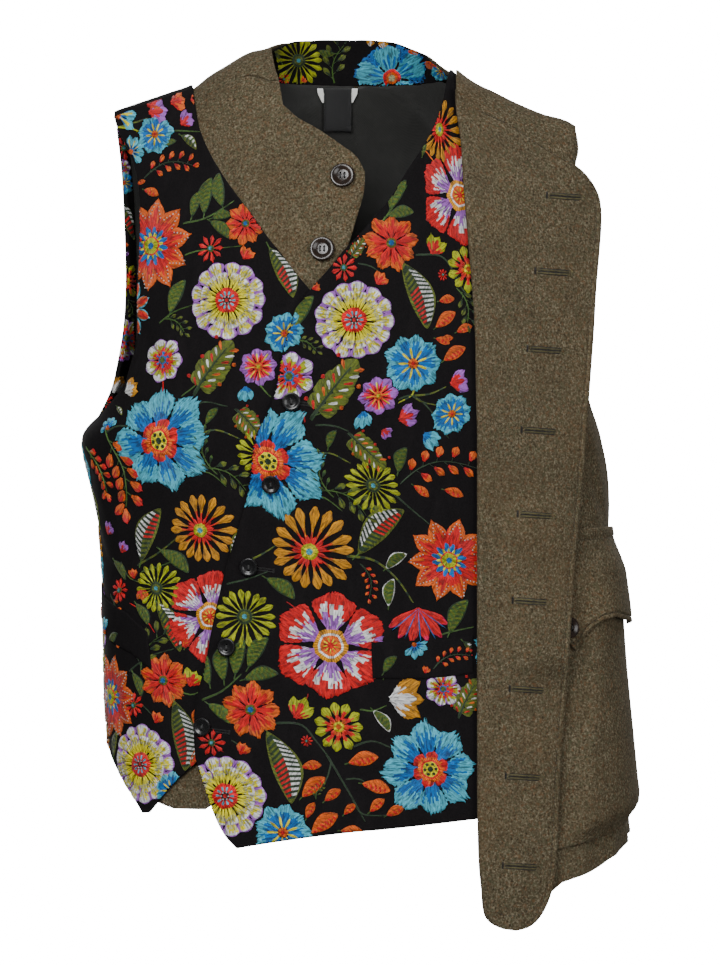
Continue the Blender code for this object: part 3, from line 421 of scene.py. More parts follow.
class Cut:
    """A piece of cloth: sections across it, on smooth curves through the given ones."""

    def __init__(self, home, rows):
        self.home = home
        given = [section_of(row) for row in rows]
        starts = [figure_point(home, *section[0:2]) for section in given]
        ends = [figure_point(home, *section[2:4]) for section in given]
        self.steps = []
        self.reach = [0.0]
        for i in range(len(given) - 1):
            first = np.linalg.norm(starts[i + 1] - starts[i])
            last = np.linalg.norm(ends[i + 1] - ends[i])
            self.steps.append(max(first, last))
            self.reach.append(self.reach[-1] + max(1.0, (first + last) / 2))
        marks = 2 * [corners_of(starts)] + 2 * [corners_of(ends)] + [set()]
        self.curves = [
            (column, slopes(self.reach, column), corners) for column, corners in zip(zip(*given), marks)
        ]
        self.length = self.reach[-1]

    def keys(self, pitch):
        """Where the fine sections are: at each given one, between them, and close to both ends."""
        found = [0.0, min(EDGE, self.length * 0.1)]
        for i, step in enumerate(self.steps):
            count = max(1, math.ceil(step / pitch))
            found += [mix(self.reach[i], self.reach[i + 1], k / count) for k in range(1, count + 1)]
        found = sorted(found[:-1] + [self.length - min(EDGE, self.length * 0.1), self.length])
        return np.array([key for i, key in enumerate(found) if i == 0 or key - found[i - 1] > 0.2])

    def spots(self, key, u):
        """Turn and rise at a key along the piece and a share u across it."""
        values = [on_curve(self.reach, *curve[:2], key, curve[2]) for curve in self.curves]
        turn = mix(values[0], values[2], u)
        return turn, mix(values[1], values[3], u) + values[4] * 4 * u * (1 - u)

    def width(self, key):
        """The length across at a key."""
        u = np.linspace(0, 1, 9)
        turn, rise = self.spots(np.asarray(key)[..., None], u)
        points = figure_point(self.home, turn, rise)
        return np.linalg.norm(np.diff(points, axis=-2), axis=-1).sum(-1)

    def border(self):
        """Its outline as spots, once round."""
        keys = self.keys(PITCH)
        u = np.linspace(0, 1, 12)
        parts = (
            self.spots(keys, 0.0),
            self.spots(self.length, u),
            self.spots(keys[::-1], 1.0),
            self.spots(0.0, u[::-1]),
        )
        return np.concatenate([part[0] for part in parts]), np.concatenate([part[1] for part in parts])


CUTS = {}


def make(name, points, faces, material, uv=None, smooth_angle=None, nodes=(), slot=None):
    """An object from points in millimetres, riding on the body and standing for CAD nodes."""
    mesh = bpy.data.meshes.new(name)
    mesh.from_pydata([tuple(p) for p in np.asarray(points) * MM], [], [tuple(f) for f in faces])
    mesh.update()
    mesh.shade_smooth()
    if smooth_angle:
        mesh.set_sharp_from_angle(angle=math.radians(smooth_angle))
    if uv is not None:
        layer = mesh.uv_layers.new(name="cut")
        loops = np.zeros(len(mesh.loops), int)
        mesh.loops.foreach_get("vertex_index", loops)
        layer.data.foreach_set("uv", np.asarray(uv, float)[loops].ravel())
    mesh.materials.append(material)
    obj = bpy.data.objects.new(name, mesh)
    bpy.context.scene.collection.objects.link(obj)
    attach(obj, BODY)
    if nodes:
        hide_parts(*nodes)
    return obj


def grid_faces(height, width, start=0, flip=False):
    """Quads of a grid of points, row by row."""
    index = start + np.arange(height * width).reshape(height, width)
    quads = np.stack((index[:-1, :-1], index[:-1, 1:], index[1:, 1:], index[1:, :-1]), -1).reshape(-1, 4)
    return quads[:, ::-1] if flip else quads


def shell(name, outer, inner, material, uv, nodes, slot):
    """A closed wall between two equal grids of points."""
    height, width = outer.shape[:2]
    count = height * width
    index = np.arange(count).reshape(height, width)
    rim = np.concatenate((index[0], index[1:, -1], index[-1, -2::-1], index[-2:0:-1, 0]))
    after = np.roll(rim, -1)
    sides = np.stack((after, rim, count + rim, count + after), -1)
    faces = np.concatenate((grid_faces(height, width), grid_faces(height, width, count, True), sides))
    points = np.concatenate((outer.reshape(-1, 3), inner.reshape(-1, 3)))
    a, b, c, d = (points[faces[:, k]] for k in range(4))
    volume = np.einsum("ij,ij->i", a, np.cross(b, c)).sum() + np.einsum("ij,ij->i", a, np.cross(c, d)).sum()
    if volume < 0:
        faces = faces[:, ::-1]
    flat = np.concatenate((uv.reshape(-1, 2), uv.reshape(-1, 2)))
    return make(name, points, faces, material, flat, 50, nodes, slot)


def share_across(width, columns, seam=()):
    """Shares across a piece, evenly, with one close to each edge and closer ones along a seam."""
    inset = np.clip(EDGE / width, 0, 0.1)[:, None]
    if len(seam):
        near = np.array(seam)[None, :] / width[:, None]
        inner = mix(inset, 1 - near[:, :1], np.linspace(0, 1, columns + 1)[None, :])
        inner = np.concatenate((inner, 1 - near[:, 1:], 1 - inset), 1)
    else:
        inner = mix(inset, 1 - inset, np.linspace(0, 1, columns + 1)[None, :])
    return np.concatenate((np.zeros_like(inset), inner, np.ones_like(inset)), 1)


def cloth(name, home, rows, lift, material, thick=CLOTH_WALL, slot="tweed", pitch=PITCH, seam=()):
    """A wall of cloth on the figure. Lift gives its inner face's height at a point and (u, v)."""
    cut = Cut(home, rows)
    keys = cut.keys(pitch)
    width = cut.width(keys)
    u = share_across(width, max(3, math.ceil(width.max() / pitch)), seam)
    turn, rise = cut.spots(keys[:, None], u)
    point, out = figure_frame(home, turn, rise)
    low = lift(point, u, keys[:, None] / cut.length) + drape(point)
    drop = np.zeros(u.shape)
    drop[0], drop[-1], drop[:, 0], drop[:, -1] = 1, 1, 1, 1
    top = low + thick * (1 - EDGE_DROP * drop)
    if len(seam):
        from_edge = (1 - u) * width[:, None]
        top -= SEAM_DEPTH * np.exp(-(((from_edge - SEAM_INSET) / SEAM_HALF) ** 2))
    base = low + thick * 0.15 * drop
    outer = point + out * top[..., None]
    inner = point + out * base[..., None]
    uv = flat_pairs(u * width[:, None], keys[:, None])
    obj = shell(name + "_cloth", outer, inner, material, uv, [name], slot)
    CUTS[name] = cut
    return obj


velvet_cloth = partial(cloth, slot="embroidered_velvet")


# ---------------------------------------------------------------- how high each layer lies


def left_velvet_lift(point, *_):
    return mix(THIRD_LIFT, FIRST_LIFT, ease((point[..., 0] - LAP_START_X) / (LAP_END_X - LAP_START_X)))


# Soft folds at the hem of the tweed left front: degrees round, half width, height, top of the fold
HEM_FOLDS = (
    (52, 5, 2.2, -585),
    (66, 4, 3.2, -600),
    (80, 5, 2.6, -590),
    (97, 6, 3.5, -560),
)
HEM_FOLD_FADE = 60.0


def hem_fold(point):
    """How far the hem's folds stand out."""
    degrees = angle_round(point)
    height = 0.0
    for centre, half_width, tall, top in HEM_FOLDS:
        near = np.clip(1 - ((degrees - centre) / half_width) ** 2, 0, None)
        height = height + tall * near * near * ease((top - point[..., 2]) / HEM_FOLD_FADE)
    return height


def left_tweed_lift(point, *_):
    return left_velvet_lift(point) + LAYER + hem_fold(point)


def left_back_lift(point, *_):
    return mix(FIRST_LIFT, SECOND_LIFT, ease((point[..., 0] - 10) / 50))


def steady(height):
    return lambda *_: height


# ---------------------------------------------------------------- velvet fronts


def right_velvet_lift(point, u, _):
    """Clear of the tweed under it, and sewn down on it at the side."""
    side = ease((u - 0.88) / 0.1) * ease((-330 - point[..., 2]) / 30)
    rise = SHOULDER_RISE * ease((point[..., 2] + 90) / 60) + HEM_RISE * ease((-500 - point[..., 2]) / 30)
    return SECOND_LIFT - SIDE_DIP * side + rise


def embroidered_right_front(velvet):
    def side(z):
        return seam(RIGHT_SEAM, z, FRONT, VELVET_SIDE_INSET)

    def armhole(x, z):
        return seen(x, z, VELVET_ARMHOLE_LIFT)

    rows = (
        # inner edge: hem's point, cut-away, front edge, neckline; outer edge: hem, side, armhole
        (on(-166, -601), on(-171.5, -601.5)),
        (on(-160.5, -594), on(-177, -592)),
        (on(-149, -579.5), on(-185, -578)),
        (on(-137, -568), on(-192.5, -563)),
        (on(-124, -557), at(-88, -548)),
        (on(-113, -545), at(-103, -542)),
        (on(-106, -530), at(-115, -539.5)),
        (on(-100, -512), side(-528)),
        (on(-86, -455), side(-480)),
        (on(-70, -390), side(-420)),
        (on(-52, -320), side(-360)),
        (on(-40, -272), side(-322)),
        (on(-32, -240), at(-88.5, -300)),
        (on(-25, -215), armhole(-210, -278)),
        (on(-24, -198), armhole(-191.2, -255)),
        (on(-48.6, -169), armhole(-182.3, -220)),
        (on(-66, -146), armhole(-181, -186)),
        (on(-82, -125), armhole(-179.3, -157)),
        (on(-98, -103), armhole(-178.5, -130)),
        (on(-111, -84), armhole(-178.8, -108)),
        (on(-121, -66), armhole(-181.5, -86)),
        (on(-128.5, -45), armhole(-188, -65)),
        (on(-132, -25), armhole(-197, -47)),
        (crest(-133, 1.0), crest(-198, 0.98)),
        (crest(-133, 1.09), crest(-198, 1.07)),
    )
    return velvet_cloth("embroidered_right_front", FRONT, rows, right_velvet_lift, velvet)


def shoulder_velvet_lift(point, *_):
    """The velvet lies close on the shoulder, under the tweed's own shoulder seam."""
    return left_velvet_lift(point) - SHOULDER_DIP * ease((point[..., 2] + 120) / 60)


def embroidered_left_front(velvet):
    rows = (
        # inner edge: hem's point, cut-away, closing edge, neckline; outer edge: side and armhole
        (on(-97, -629.5), on(196, -592), on(16, -614.5)),
        (on(-106, -619.5), on(195, -572), on(16, -600)),
        (on(-114, -604), on(194, -548), on(16, -580)),
        (on(-120, -586), on(193, -522)),
        (on(-125.5, -570), on(192, -498)),
        (on(-129.6, -553), on(191, -474)),
        (on(-130.4, -526), on(190, -446)),
        (on(-122.5, -482), on(189, -410)),
        (on(-107.7, -410), on(187, -360)),
        (on(-89, -340), on(184, -322)),
        (on(-70.5, -270.5), at(80, -299)),
        (on(-61.6, -231), on(166, -270)),
        (on(-51, -195), on(160, -240)),
        (on(-38.5, -179), on(157, -214)),
        (on(-22, -160), on(155, -190)),
        (on(-6.5, -142), on(154, -165)),
        (on(9.7, -123), on(154, -142)),
        (on(23.5, -106), on(154.5, -122)),
        (on(38, -81), on(156, -102)),
        (on(50, -62), on(158, -86)),
        (on(59.5, -42), on(161, -73)),
        (on(66, -22), on(165, -62)),
        (crest(70, 0.9), crest(168, 0.94)),
        (crest(71, 1.02), crest(169, 1.02)),
    )
    return velvet_cloth("embroidered_left_front", FRONT, rows, shoulder_velvet_lift, velvet)


# ---------------------------------------------------------------- tweed fronts


def tweed_right_front(tweed):
    def side(z):
        return seam(RIGHT_SEAM, z, FRONT)

    def armhole(x, z):
        return seen(x, z, TWEED_ARMHOLE_LIFT)

    rows = (
        # inner edge: hem, front edge, neck; outer edge: hem, side, armhole
        (on(-124, -598.3), on(-149, -597.8)),
        (on(-113, -591), on(-163, -592)),
        (on(-105, -578), on(-177, -580)),
        (on(-100, -562), on(-187.5, -560)),
        (on(-98, -546), at(-88, -539)),
        (on(-97.5, -528), at(-106, -534)),
        (on(-95, -508), side(-528)),
        (on(-82, -450), side(-480)),
        (on(-64, -380), side(-420)),
        (on(-46, -310), side(-360)),
        (on(-30, -245), side(-322)),
        (on(-21, -205), side(-301)),
        (on(-15.5, -174), armhole(-209.5, -281)),
        (on(-10.5, -147), armhole(-190, -257)),
        (on(-4, -125), armhole(-180.5, -222)),
        (on(3, -100), armhole(-178.5, -186)),
        (on(4, -84), armhole(-177, -157)),
        (on(-1.5, -73), armhole(-176.5, -130)),
        (on(-14, -62.5), armhole(-176.8, -108)),
        (on(-31, -50.5), armhole(-178.5, -88)),
        (on(-49, -40), armhole(-182, -74)),
        (on(-61.5, -29), armhole(-186, -62)),
        (on(-64.6, -9.4), on(-188.5, -52.5), on(-90, -6)),
    )
    return cloth("tweed_right_front", FRONT, rows, steady(FIRST_LIFT), tweed, seam=SEAM_COLUMNS)


def tweed_left_front(tweed):
    def fold(x, z):
        return on(x + ROLL_RADIUS + ROLL_FOOT + SEAM_GAP, z)

    def side(z):
        return seam(LEFT_SEAM, z, FRONT)

    rows = (
        # inner edge: along the fold; outer edge: hem, side, armhole
        (fold(104.5, -684), on(137, -680)),
        (fold(101, -672), on(150, -667)),
        (fold(99, -655), on(163, -655), on(135, -663)),
        (fold(98, -636), on(184, -648), on(140, -650)),
        (fold(97, -612), on(198, -638), on(150, -632)),
        (fold(96, -585), at(88, -622)),
        (fold(95.6, -555), at(102, -616)),
        (fold(95.6, -520), side(-612)),
        (fold(95.6, -470), side(-550)),
        (fold(95.6, -420), side(-480)),
        (fold(95.6, -370), side(-410)),
        (fold(95.6, -325), side(-350)),
        (fold(95, -285), side(-305)),
        (fold(94, -250), on(183, -280)),
        (fold(93, -215), on(172, -250)),
        (fold(91.5, -177), on(163, -215)),
        (fold(89, -140), on(159, -180)),
        (fold(86.5, -110), on(159, -145)),
        (fold(84.2, -85), on(162, -115)),
        (fold(82.5, -60), on(166.5, -90)),
        (fold(80, -36), on(170, -74)),
        (on(74.5, -19), on(172, -63)),
        (crest(73.5, 0.98), crest(171.5, 0.99)),
        (crest(77.5, 1.03), crest(171, 1.05)),
    )
    return cloth("tweed_left_front", FRONT, rows, left_tweed_lift, tweed)


def between(value, low, high, fade):
    """1 from low to high, fading to 0 outside."""
    return ease((value - low + fade) / fade) * ease((high + fade - value) / fade)


def turnback_ride(x, z):
    extra = 0.0
    for low, high, fade, start, width, height in TURNBACK_RIDES:
        extra = extra + height * between(z, low, high, fade) * ease((x - start) / width)
    return extra


def turnback_point(x, z, height):
    """A point over the tweed left front, seen at (x, z). Past the free line it runs straight on."""
    free = mix(TURNBACK_FREE_X, 260, ease((-300 - z) / 130))
    at_x = np.stack((x, np.zeros_like(x), z), -1)
    lift = left_velvet_lift(at_x) + LAYER + CLOTH_WALL / 2 + height + turnback_ride(x, z)

    def lifted_y(here):
        point, out = figure_frame(FRONT, *seen(here, z, lift))
        return (point + out * (lift + drape(point))[..., None])[..., 1]

    near = lifted_y(np.minimum(x, free))
    slope = (near - lifted_y(free - 8)) / 8
    y = np.where(x > free, near + slope * (x - free), near)
    return np.stack((x, y, z), -1)


TURNBACK = (
    # fold x, fold z, free edge x, free edge z, from the neck down
    (78, -15, 85.5, -27.5),
    (78.5, -27, 104, -35.5),
    (79.5, -36, 125, -44.5),
    (81, -46, 147.5, -60),
    (82.5, -57, 167, -71.5),
    (83.5, -69, 180, -80),
    (84, -82, 189.5, -91.5),
    (85, -97, 195, -104),
    (86.5, -115, 196.3, -120),
    (89, -145, 194.5, -147),
    (91.5, -175, 192, -175),
    (94, -215, 189.5, -215),
    (94.6, -257, 186.3, -257),
    (95.6, -300, 183, -301),
    (95.6, -345, 179.8, -345),
    (95.6, -395, 174.6, -395),
    (95.6, -445, 171, -445),
    (95.6, -492, 168.3, -492),
    (95.6, -538, 164.3, -538),
    (95.6, -580, 161.8, -580),
    (96, -618, 160, -620),
    (97, -645, 157.8, -650),
    (98.8, -663, 154.5, -666),
    (99.8, -676, 149.5, -678.5),
    (102.5, -685.5, 143, -688),
    (108.5, -691, 135.5, -693.5),
    (116.5, -694.5, 126, -695.8),
)


class Strip:
    """The turned-back edge: a place is a key along it and a distance from its fold."""

    def __init__(self):
        rows = TURNBACK
        self.reach = [0.0]
        for last, this in zip(rows, rows[1:]):
            steps = [math.hypot(this[k] - last[k], this[k + 1] - last[k + 1]) for k in (0, 2)]
            self.reach.append(self.reach[-1] + sum(steps) / 2)
        self.curves = [(column, slopes(self.reach, column)) for column in zip(*rows)]
        self.length = self.reach[-1]

    def ends(self, key):
        return [on_curve(self.reach, *curve, key) for curve in self.curves]

    def width(self, key):
        fold_x, fold_z, free_x, free_z = self.ends(key)
        return np.hypot(free_x - fold_x, free_z - fold_z)

    def point(self, key, s, height):
        fold_x, fold_z, free_x, free_z = self.ends(key)
        share = s / self.width(key)
        return turnback_point(mix(fold_x, free_x, share), mix(fold_z, free_z, share), height)

    def rest(self, s):
        """Height of the middle of the cloth over the tweed below it."""
        return mix(2 * ROLL_RADIUS, TURNBACK_REST, ease((s - ROLL_RADIUS) / TURNBACK_SETTLE))


STRIP = Strip()
# The free edge's seam: distance from the edge, share of the cloth's thickness
HEM_SEAM = (
    (6.4, 1.0), (5.4, 0.96), (4.7, 0.7), (4.2, 0.56), (3.7, 0.7), (2.9, 1.0), (1.9, 1.12), (1.0, 1.0)
)


def tweed_left_turnback(tweed):
    """The front's buttonhole edge, rolled outwards over itself from neck to hem."""
    keys = [0.0]
    for low, high in zip(STRIP.reach, STRIP.reach[1:]):
        count = max(1, math.ceil((high - low) / PITCH))
        keys += [mix(low, high, k / count) for k in range(1, count + 1)]
    outer, inner = [], []
    for key in keys:
        width = float(STRIP.width(key))
        path = [(ROLL_RADIUS + ROLL_FOOT, 0.0, 1.0)]
        for k in range(ROLL_TURNS + 1):
            angle = math.pi * k / ROLL_TURNS
            across, up = ROLL_RADIUS * math.sin(angle), ROLL_RADIUS * math.cos(angle)
            path.append((ROLL_RADIUS - across, ROLL_RADIUS - up, 1.0))
        squeeze = min(1.0, (width - ROLL_RADIUS) / 14.0)
        flat = max(width - ROLL_RADIUS - HEM_SEAM[0][0] * squeeze, 1.0)
        for k in range(1, STRIP_COLUMNS + 1):
            s = ROLL_RADIUS + flat * k / STRIP_COLUMNS
            path.append((s, float(STRIP.rest(s)), 1.0))
        for inset, thickness in HEM_SEAM[1:]:
            s = width - inset * squeeze
            path.append((s, float(STRIP.rest(s)), thickness))
        path.append((max(width, path[-1][0] + 0.2), path[-1][1], 1 - EDGE_DROP))
        outer.append([])
        inner.append([])
        for k, (s, height, full) in enumerate(path):
            before = path[max(k - 1, 0)]
            after = path[min(k + 1, len(path) - 1)]
            run_s, run_h = after[0] - before[0], after[1] - before[1]
            length = math.hypot(run_s, run_h)
            out_s, out_h = -run_h / length, run_s / length
            half = full * (CLOTH_WALL if height < ROLL_RADIUS / 2 else TURNBACK_WALL) / 2
            outer[-1].append((key, s + half * out_s, height + half * out_h))
            inner[-1].append((key, s - half * out_s, height - half * out_h))
    grids = []
    for grid in (outer, inner):
        key, s, height = (np.array(grid)[..., k] for k in range(3))
        grids.append(STRIP.point(key, s, height))
    uv = np.array(outer)[..., [1, 0]] * MM
    name = "tweed_left_turnback"
    return shell(name + "_cloth", *grids, tweed, uv, [name], "tweed")


# ---------------------------------------------------------------- back and lining


def middle(z):
    """A spot on the back's middle seam."""
    return on(CENTRE_BACK_X, z)


def foot(x):
    """A spot just under the neck facing."""
    return on(x, band_foot(x) - SEAM_GAP)


def tweed_back_right(tweed):
    def side(z):
        return seam(RIGHT_SEAM, z, BACK)

    def armhole(z):
        return at(armhole_edge(z), z)

    rows = (
        # inner edge: middle seam, neck; outer edge: side seam, armhole, shoulder
        (middle(-588), side(-540)),
        (middle(-520), side(-480)),
        (middle(-455), side(-420)),
        (middle(-390), side(-360)),
        (middle(-340), side(-322)),
        (middle(-300), side(-301)),
        (middle(-262), armhole(-280)),
        (middle(-205), armhole(-240)),
        (middle(-150), armhole(-195)),
        (middle(-100), armhole(-155)),
        (middle(-50), armhole(-118)),
        (middle(-10), armhole(-88)),
        (middle(16), armhole(-66)),
        (on(CENTRE_BACK_X - 2, 23.5), armhole(-63)),
        (on(-30, 23.8), crest(-194, 0.9)),
        (on(-56, 22), crest(-194, 1.0)),
        (crest(-71, 1.0), crest(-193, 1.1)),
        (over(-68.5, 4), over(-190.5, -47)),
        (over(-64.6, -8.8), over(-188.5, -52), over(-90, -5.5)),
    )
    return cloth("tweed_back_right", BACK, rows, steady(FIRST_LIFT), tweed)


def tweed_back_left(tweed):
    def side(z):
        return seam(LEFT_SEAM, z, BACK)

    rows = (
        # inner edge: middle seam, neck; outer edge: side seam, armhole, shoulder
        (middle(-588), side(-612)),
        (middle(-520), side(-550)),
        (middle(-455), side(-480)),
        (middle(-390), side(-410)),
        (middle(-340), side(-350)),
        (middle(-300), side(-305)),
        (middle(-255), at(83, -272)),
        (middle(-205), at(80, -235)),
        (middle(-150), at(79, -195)),
        (middle(-100), at(79, -158)),
        (middle(-50), at(79, -122)),
        (middle(-10), at(79, -96)),
        (middle(16), at(79, -82)),
        (on(CENTRE_BACK_X + 2, 23.5), at(79, -79)),
        (on(21, 22.8), at(80, -71)),
        (on(38, 17), crest(171, 0.85)),
        (on(58, 5), crest(171.2, 0.89)),
        (crest(78, 0.93), crest(171, 0.94)),
    )
    return cloth("tweed_back_left", BACK, rows, left_back_lift, tweed)


NECK_FACING_DIP = 0.8
BAND_FOOT = (
    # x, height of the neck facing's lower edge
    (-66, -8.5),
    (-35, -9.7),
    (8, -10.5),
    (49, -9),
    (66, -7.5),
)
band_foot = curve_of(BAND_FOOT, 1)

ARMHOLE_FACING = (
    # height, degrees at the armhole's edge, degrees at the facing's inner edge
    (-299, -87, -52),
    (-280, -83.4, -55),
    (-256, -80.5, -62),
    (-228, -79, -69),
    (-200, -78, -72.3),
    (-160, -77.6, -72.6),
    (-120, -77.6, -72.6),
    (-80, -77.8, -73),
    (-46, -78, -73.4),
)
armhole_edge = curve_of(ARMHOLE_FACING, 1)
facing_inner = curve_of(ARMHOLE_FACING, 2)


def lining_back_right(satin):
    def side(z):
        return seam(RIGHT_SEAM, z, BACK)

    def armhole(z):
        return at(facing_inner(z) + 1.0, z)

    rows = (
        # inner edge: middle seam, foot of the neck facing; outer edge: side, armhole facing
        (middle(-583), side(-535)),
        (middle(-510), side(-480)),
        (middle(-430), side(-410)),
        (middle(-350), side(-350)),
        (middle(-310), side(-312)),
        (middle(-290), at(-51.5, -299.6)),
        (middle(-255), armhole(-276)),
        (middle(-210), armhole(-250)),
        (middle(-160), armhole(-210)),
        (middle(-110), armhole(-165)),
        (middle(-60), armhole(-125)),
        (middle(-14), armhole(-98)),
        (foot(CENTRE_BACK_X - 2), armhole(-94)),
        (foot(-20), armhole(-82)),
        (foot(-34), armhole(-72)),
        (foot(-46), armhole(-64)),
        (foot(-57), crest(-183, 0.82)),
        (foot(-66.5), crest(-183, 0.86)),
        (crest(-80, 0.9), crest(-184, 0.93)),
    )
    return cloth("lining_back_right", BACK, rows, steady(0.0), satin, LINING_WALL, "lining")


def lining_back_left(satin):
    def side(z):
        return seam(LEFT_SEAM, z, BACK)

    rows = (
        # inner edge: middle seam, foot of the neck facing; outer edge: side, armhole
        (middle(-583), side(-606)),
        (middle(-510), side(-540)),
        (middle(-430), side(-460)),
        (middle(-350), side(-375)),
        (middle(-300), side(-306)),
        (middle(-255), at(82, -275)),
        (middle(-205), at(79, -240)),
        (middle(-150), at(78, -200)),
        (middle(-100), at(78, -160)),
        (middle(-55), at(78, -125)),
        (middle(-14), at(78, -103)),
        (foot(CENTRE_BACK_X + 2), at(78, -100)),
        (foot(12), at(78, -91)),
        (foot(26), at(78, -83)),
        (foot(40), at(79, -76)),
        (foot(54), crest(170, 0.83)),
        (foot(66.5), crest(170, 0.87)),
        (crest(80, 0.88), crest(170, 0.92)),
    )
    return cloth("lining_back_left", BACK, rows, steady(0.0), satin, LINING_WALL, "lining")


def neck_facing(velvet):
    def foot(x):
        return on(x, band_foot(x))

    rows = (
        # foot, neck edge, from the wearer's right to the left
        (foot(-66), crest(-70.5, 0.97)),
        (foot(-57), on(-57, 24.5)),
        (foot(-46), on(-44, 26)),
        (foot(-34), on(-31, 27)),
        (foot(-20), on(-18, 27)),
        (foot(-5), on(-3, 27)),
        (foot(12), on(13, 26.5)),
        (foot(26), on(27, 25)),
        (foot(40), on(41, 20)),
        (foot(54), on(56, 11.5)),
        (on(71, band_foot(66)), crest(76.5, 0.97)),
    )

    def lift(_, u, __):
        return -NECK_FACING_DIP * ease(u)

    return velvet_cloth("neck_facing", BACK, rows, lift, velvet, LINING_WALL, pitch=TRIM_PITCH)


def armhole_facing_right(velvet):
    """A strip inside the armhole's edge, and its rim turned out round the tweed's edge."""
    rows = [(at(edge, z), at(inside, z)) for z, edge, inside in ARMHOLE_FACING]
    cut = Cut(BACK, rows)
    keys = cut.keys(PITCH)
    edge, rise = cut.spots(keys, 0.0)
    inside, _ = cut.spots(keys, 1.0)
    rim_out = FIRST_LIFT + CLOTH_WALL + LAYER_AIR / 2
    columns = [(share, 0.0, LINING_WALL, 0.0) for share in np.linspace(1, 0, 8)]
    # degrees past the edge, outer height, inner height
    for past, top, base in (
        (0.4, LINING_WALL, 0.1),
        (0.55, rim_out * 0.75, 0.2),
        (0.8, rim_out * 0.96, 0.3),
        (1.2, rim_out, 0.4),
        (1.6, rim_out * 0.94, 0.6),
        (1.85, rim_out * 0.72, 0.9),
    ):
        columns.append((0.0, -math.radians(past), top, base))
    share, past, top, base = (np.array(column)[None, :] for column in zip(*columns))
    turn = mix(edge[:, None], inside[:, None], share) + past
    point, out = figure_frame(BACK, turn, rise[:, None])
    bend = drape(point)
    outer = point + out * (top + bend)[..., None]
    inner = point + out * (base + bend)[..., None]
    uv = flat_pairs(share * 20, keys[:, None])
    name = "armhole_facing_right"
    CUTS[name] = cut
    return shell(name + "_cloth", outer, inner, velvet, uv, [name], "embroidered_velvet")


# ---------------------------------------------------------------- pockets


def welt_left_front(velvet):
    def lift(point, *_):
        return left_velvet_lift(point) + CLOTH_WALL + SEAM_GAP

    rows = (
        # foot, top edge, from the closing edge to the side
        (on(10, -492.5), on(9, -463)),
        (on(40, -492.5), on(40, -462)),
        (on(66, -491.5), on(66, -461)),
        (on(90, -488), on(90, -457.5)),
    )
    return velvet_cloth("welt_left_front", FRONT, rows, lift, velvet, WELT_WALL, pitch=TRIM_PITCH)


def welt_right_front(velvet):
    rows = (
        # foot, top edge, from the closing edge to the side
        (on(-163.5, -486), on(-167, -455)),
        (on(-179, -472), on(-182, -440)),
        (at(-80, -458), at(-80, -427)),
        (at(-92, -446), at(-92, -415)),
        (at(-103, -440), at(-103, -409)),
    )
    lift = steady(SECOND_LIFT + CLOTH_WALL + 2 * SEAM_GAP)
    return velvet_cloth("welt_right_front", FRONT, rows, lift, velvet, WELT_WALL, pitch=TRIM_PITCH)


free_edge_x = curve_of(FREE_EDGE, 1)


def pocket_puff(point):
    """The pocket lies flat under the turned-back edge and swells beyond it."""
    full = mix(POCKET_PUFF_TOP, POCKET_PUFF_BOTTOM, np.clip((-400 - point[..., 2]) / 200, 0, 1))
    flat = ease((point[..., 0] - free_edge_x(point[..., 2])) / PUFF_START)
    return full * np.where(point[..., 1] > 0, 1, flat)


def bellows_pocket(tweed):
    def lift(point, u, v):
        side = np.minimum(u, 1 - u) / POCKET_RIM
        foot = v / POCKET_RIM
        puff = ease(side * 1.6) * ease(foot * 1.6) * pocket_puff(point)
        return left_velvet_lift(point) + LAYER + CLOTH_WALL + 2 * SEAM_GAP + hem_fold(point) + puff

    rows = (
        # towards the front, towards the back, from the foot up
        (on(141, -634), at(94, -601), on(190, -621)),
        (on(135, -626), at(98, -592), on(190, -611)),
        (on(133, -612), at(99, -578), on(190, -597)),
        (on(132, -590), at(99.5, -556)),
        (on(131, -556), at(99.5, -520)),
        (on(130, -520), at(99, -486)),
        (on(130, -480), at(98.5, -462)),
        (on(130, -428), at(98, -422)),
    )
    return cloth("bellows_pocket", FRONT, rows, lift, tweed)


def pocket_flap(tweed):
    def lift(point, u, v):
        low = left_velvet_lift(point) + LAYER + CLOTH_WALL + SEAM_GAP
        stand = FLAP_STAND * ease((v - 0.42) / 0.25) * ease((u - 0.25) / 0.75)
        band = FLAP_BAND * ease((FLAP_BAND_END - u) / 0.02)
        return low + mix(0.2, pocket_puff(point) + LAYER + 1.0, ease(u * 2.0)) + stand + band

    rows = (
        # seam, scalloped edge, from the front towards the back
        (on(130, -373), on(133, -446)),
        (on(142, -372), on(145, -450)),
        (on(153, -372), on(156, -459)),
        (on(165, -371.5), seen(176, -470, 15)),
        (on(176, -371), seen(186.3, -455, 18)),
        (at(72, -370.5), seen(196, -445.5, 19)),
        (at(79, -370), seen(205, -443, 19)),
        (at(86, -370), seen(212.5, -445.5, 19)),
        (at(93, -370), at(97, -450)),
    )
    return cloth("pocket_flap", FRONT, rows, lift, tweed, pitch=TRIM_PITCH, seam=SEAM_COLUMNS)


# ---------------------------------------------------------------- trims inside the neck


def blank_label(satin):
    rows = (
        # left edge, right edge, from the foot up
        (on(-30, -46), on(-7.3, -46)),
        (on(-30, -28), on(-7.3, -28)),
        (on(-30, -11), on(-7.3, -11)),
    )
    return cloth("blank_label", BACK, rows, steady(LABEL_LIFT), satin, TAPE_WALL, "label", TRIM_PITCH)


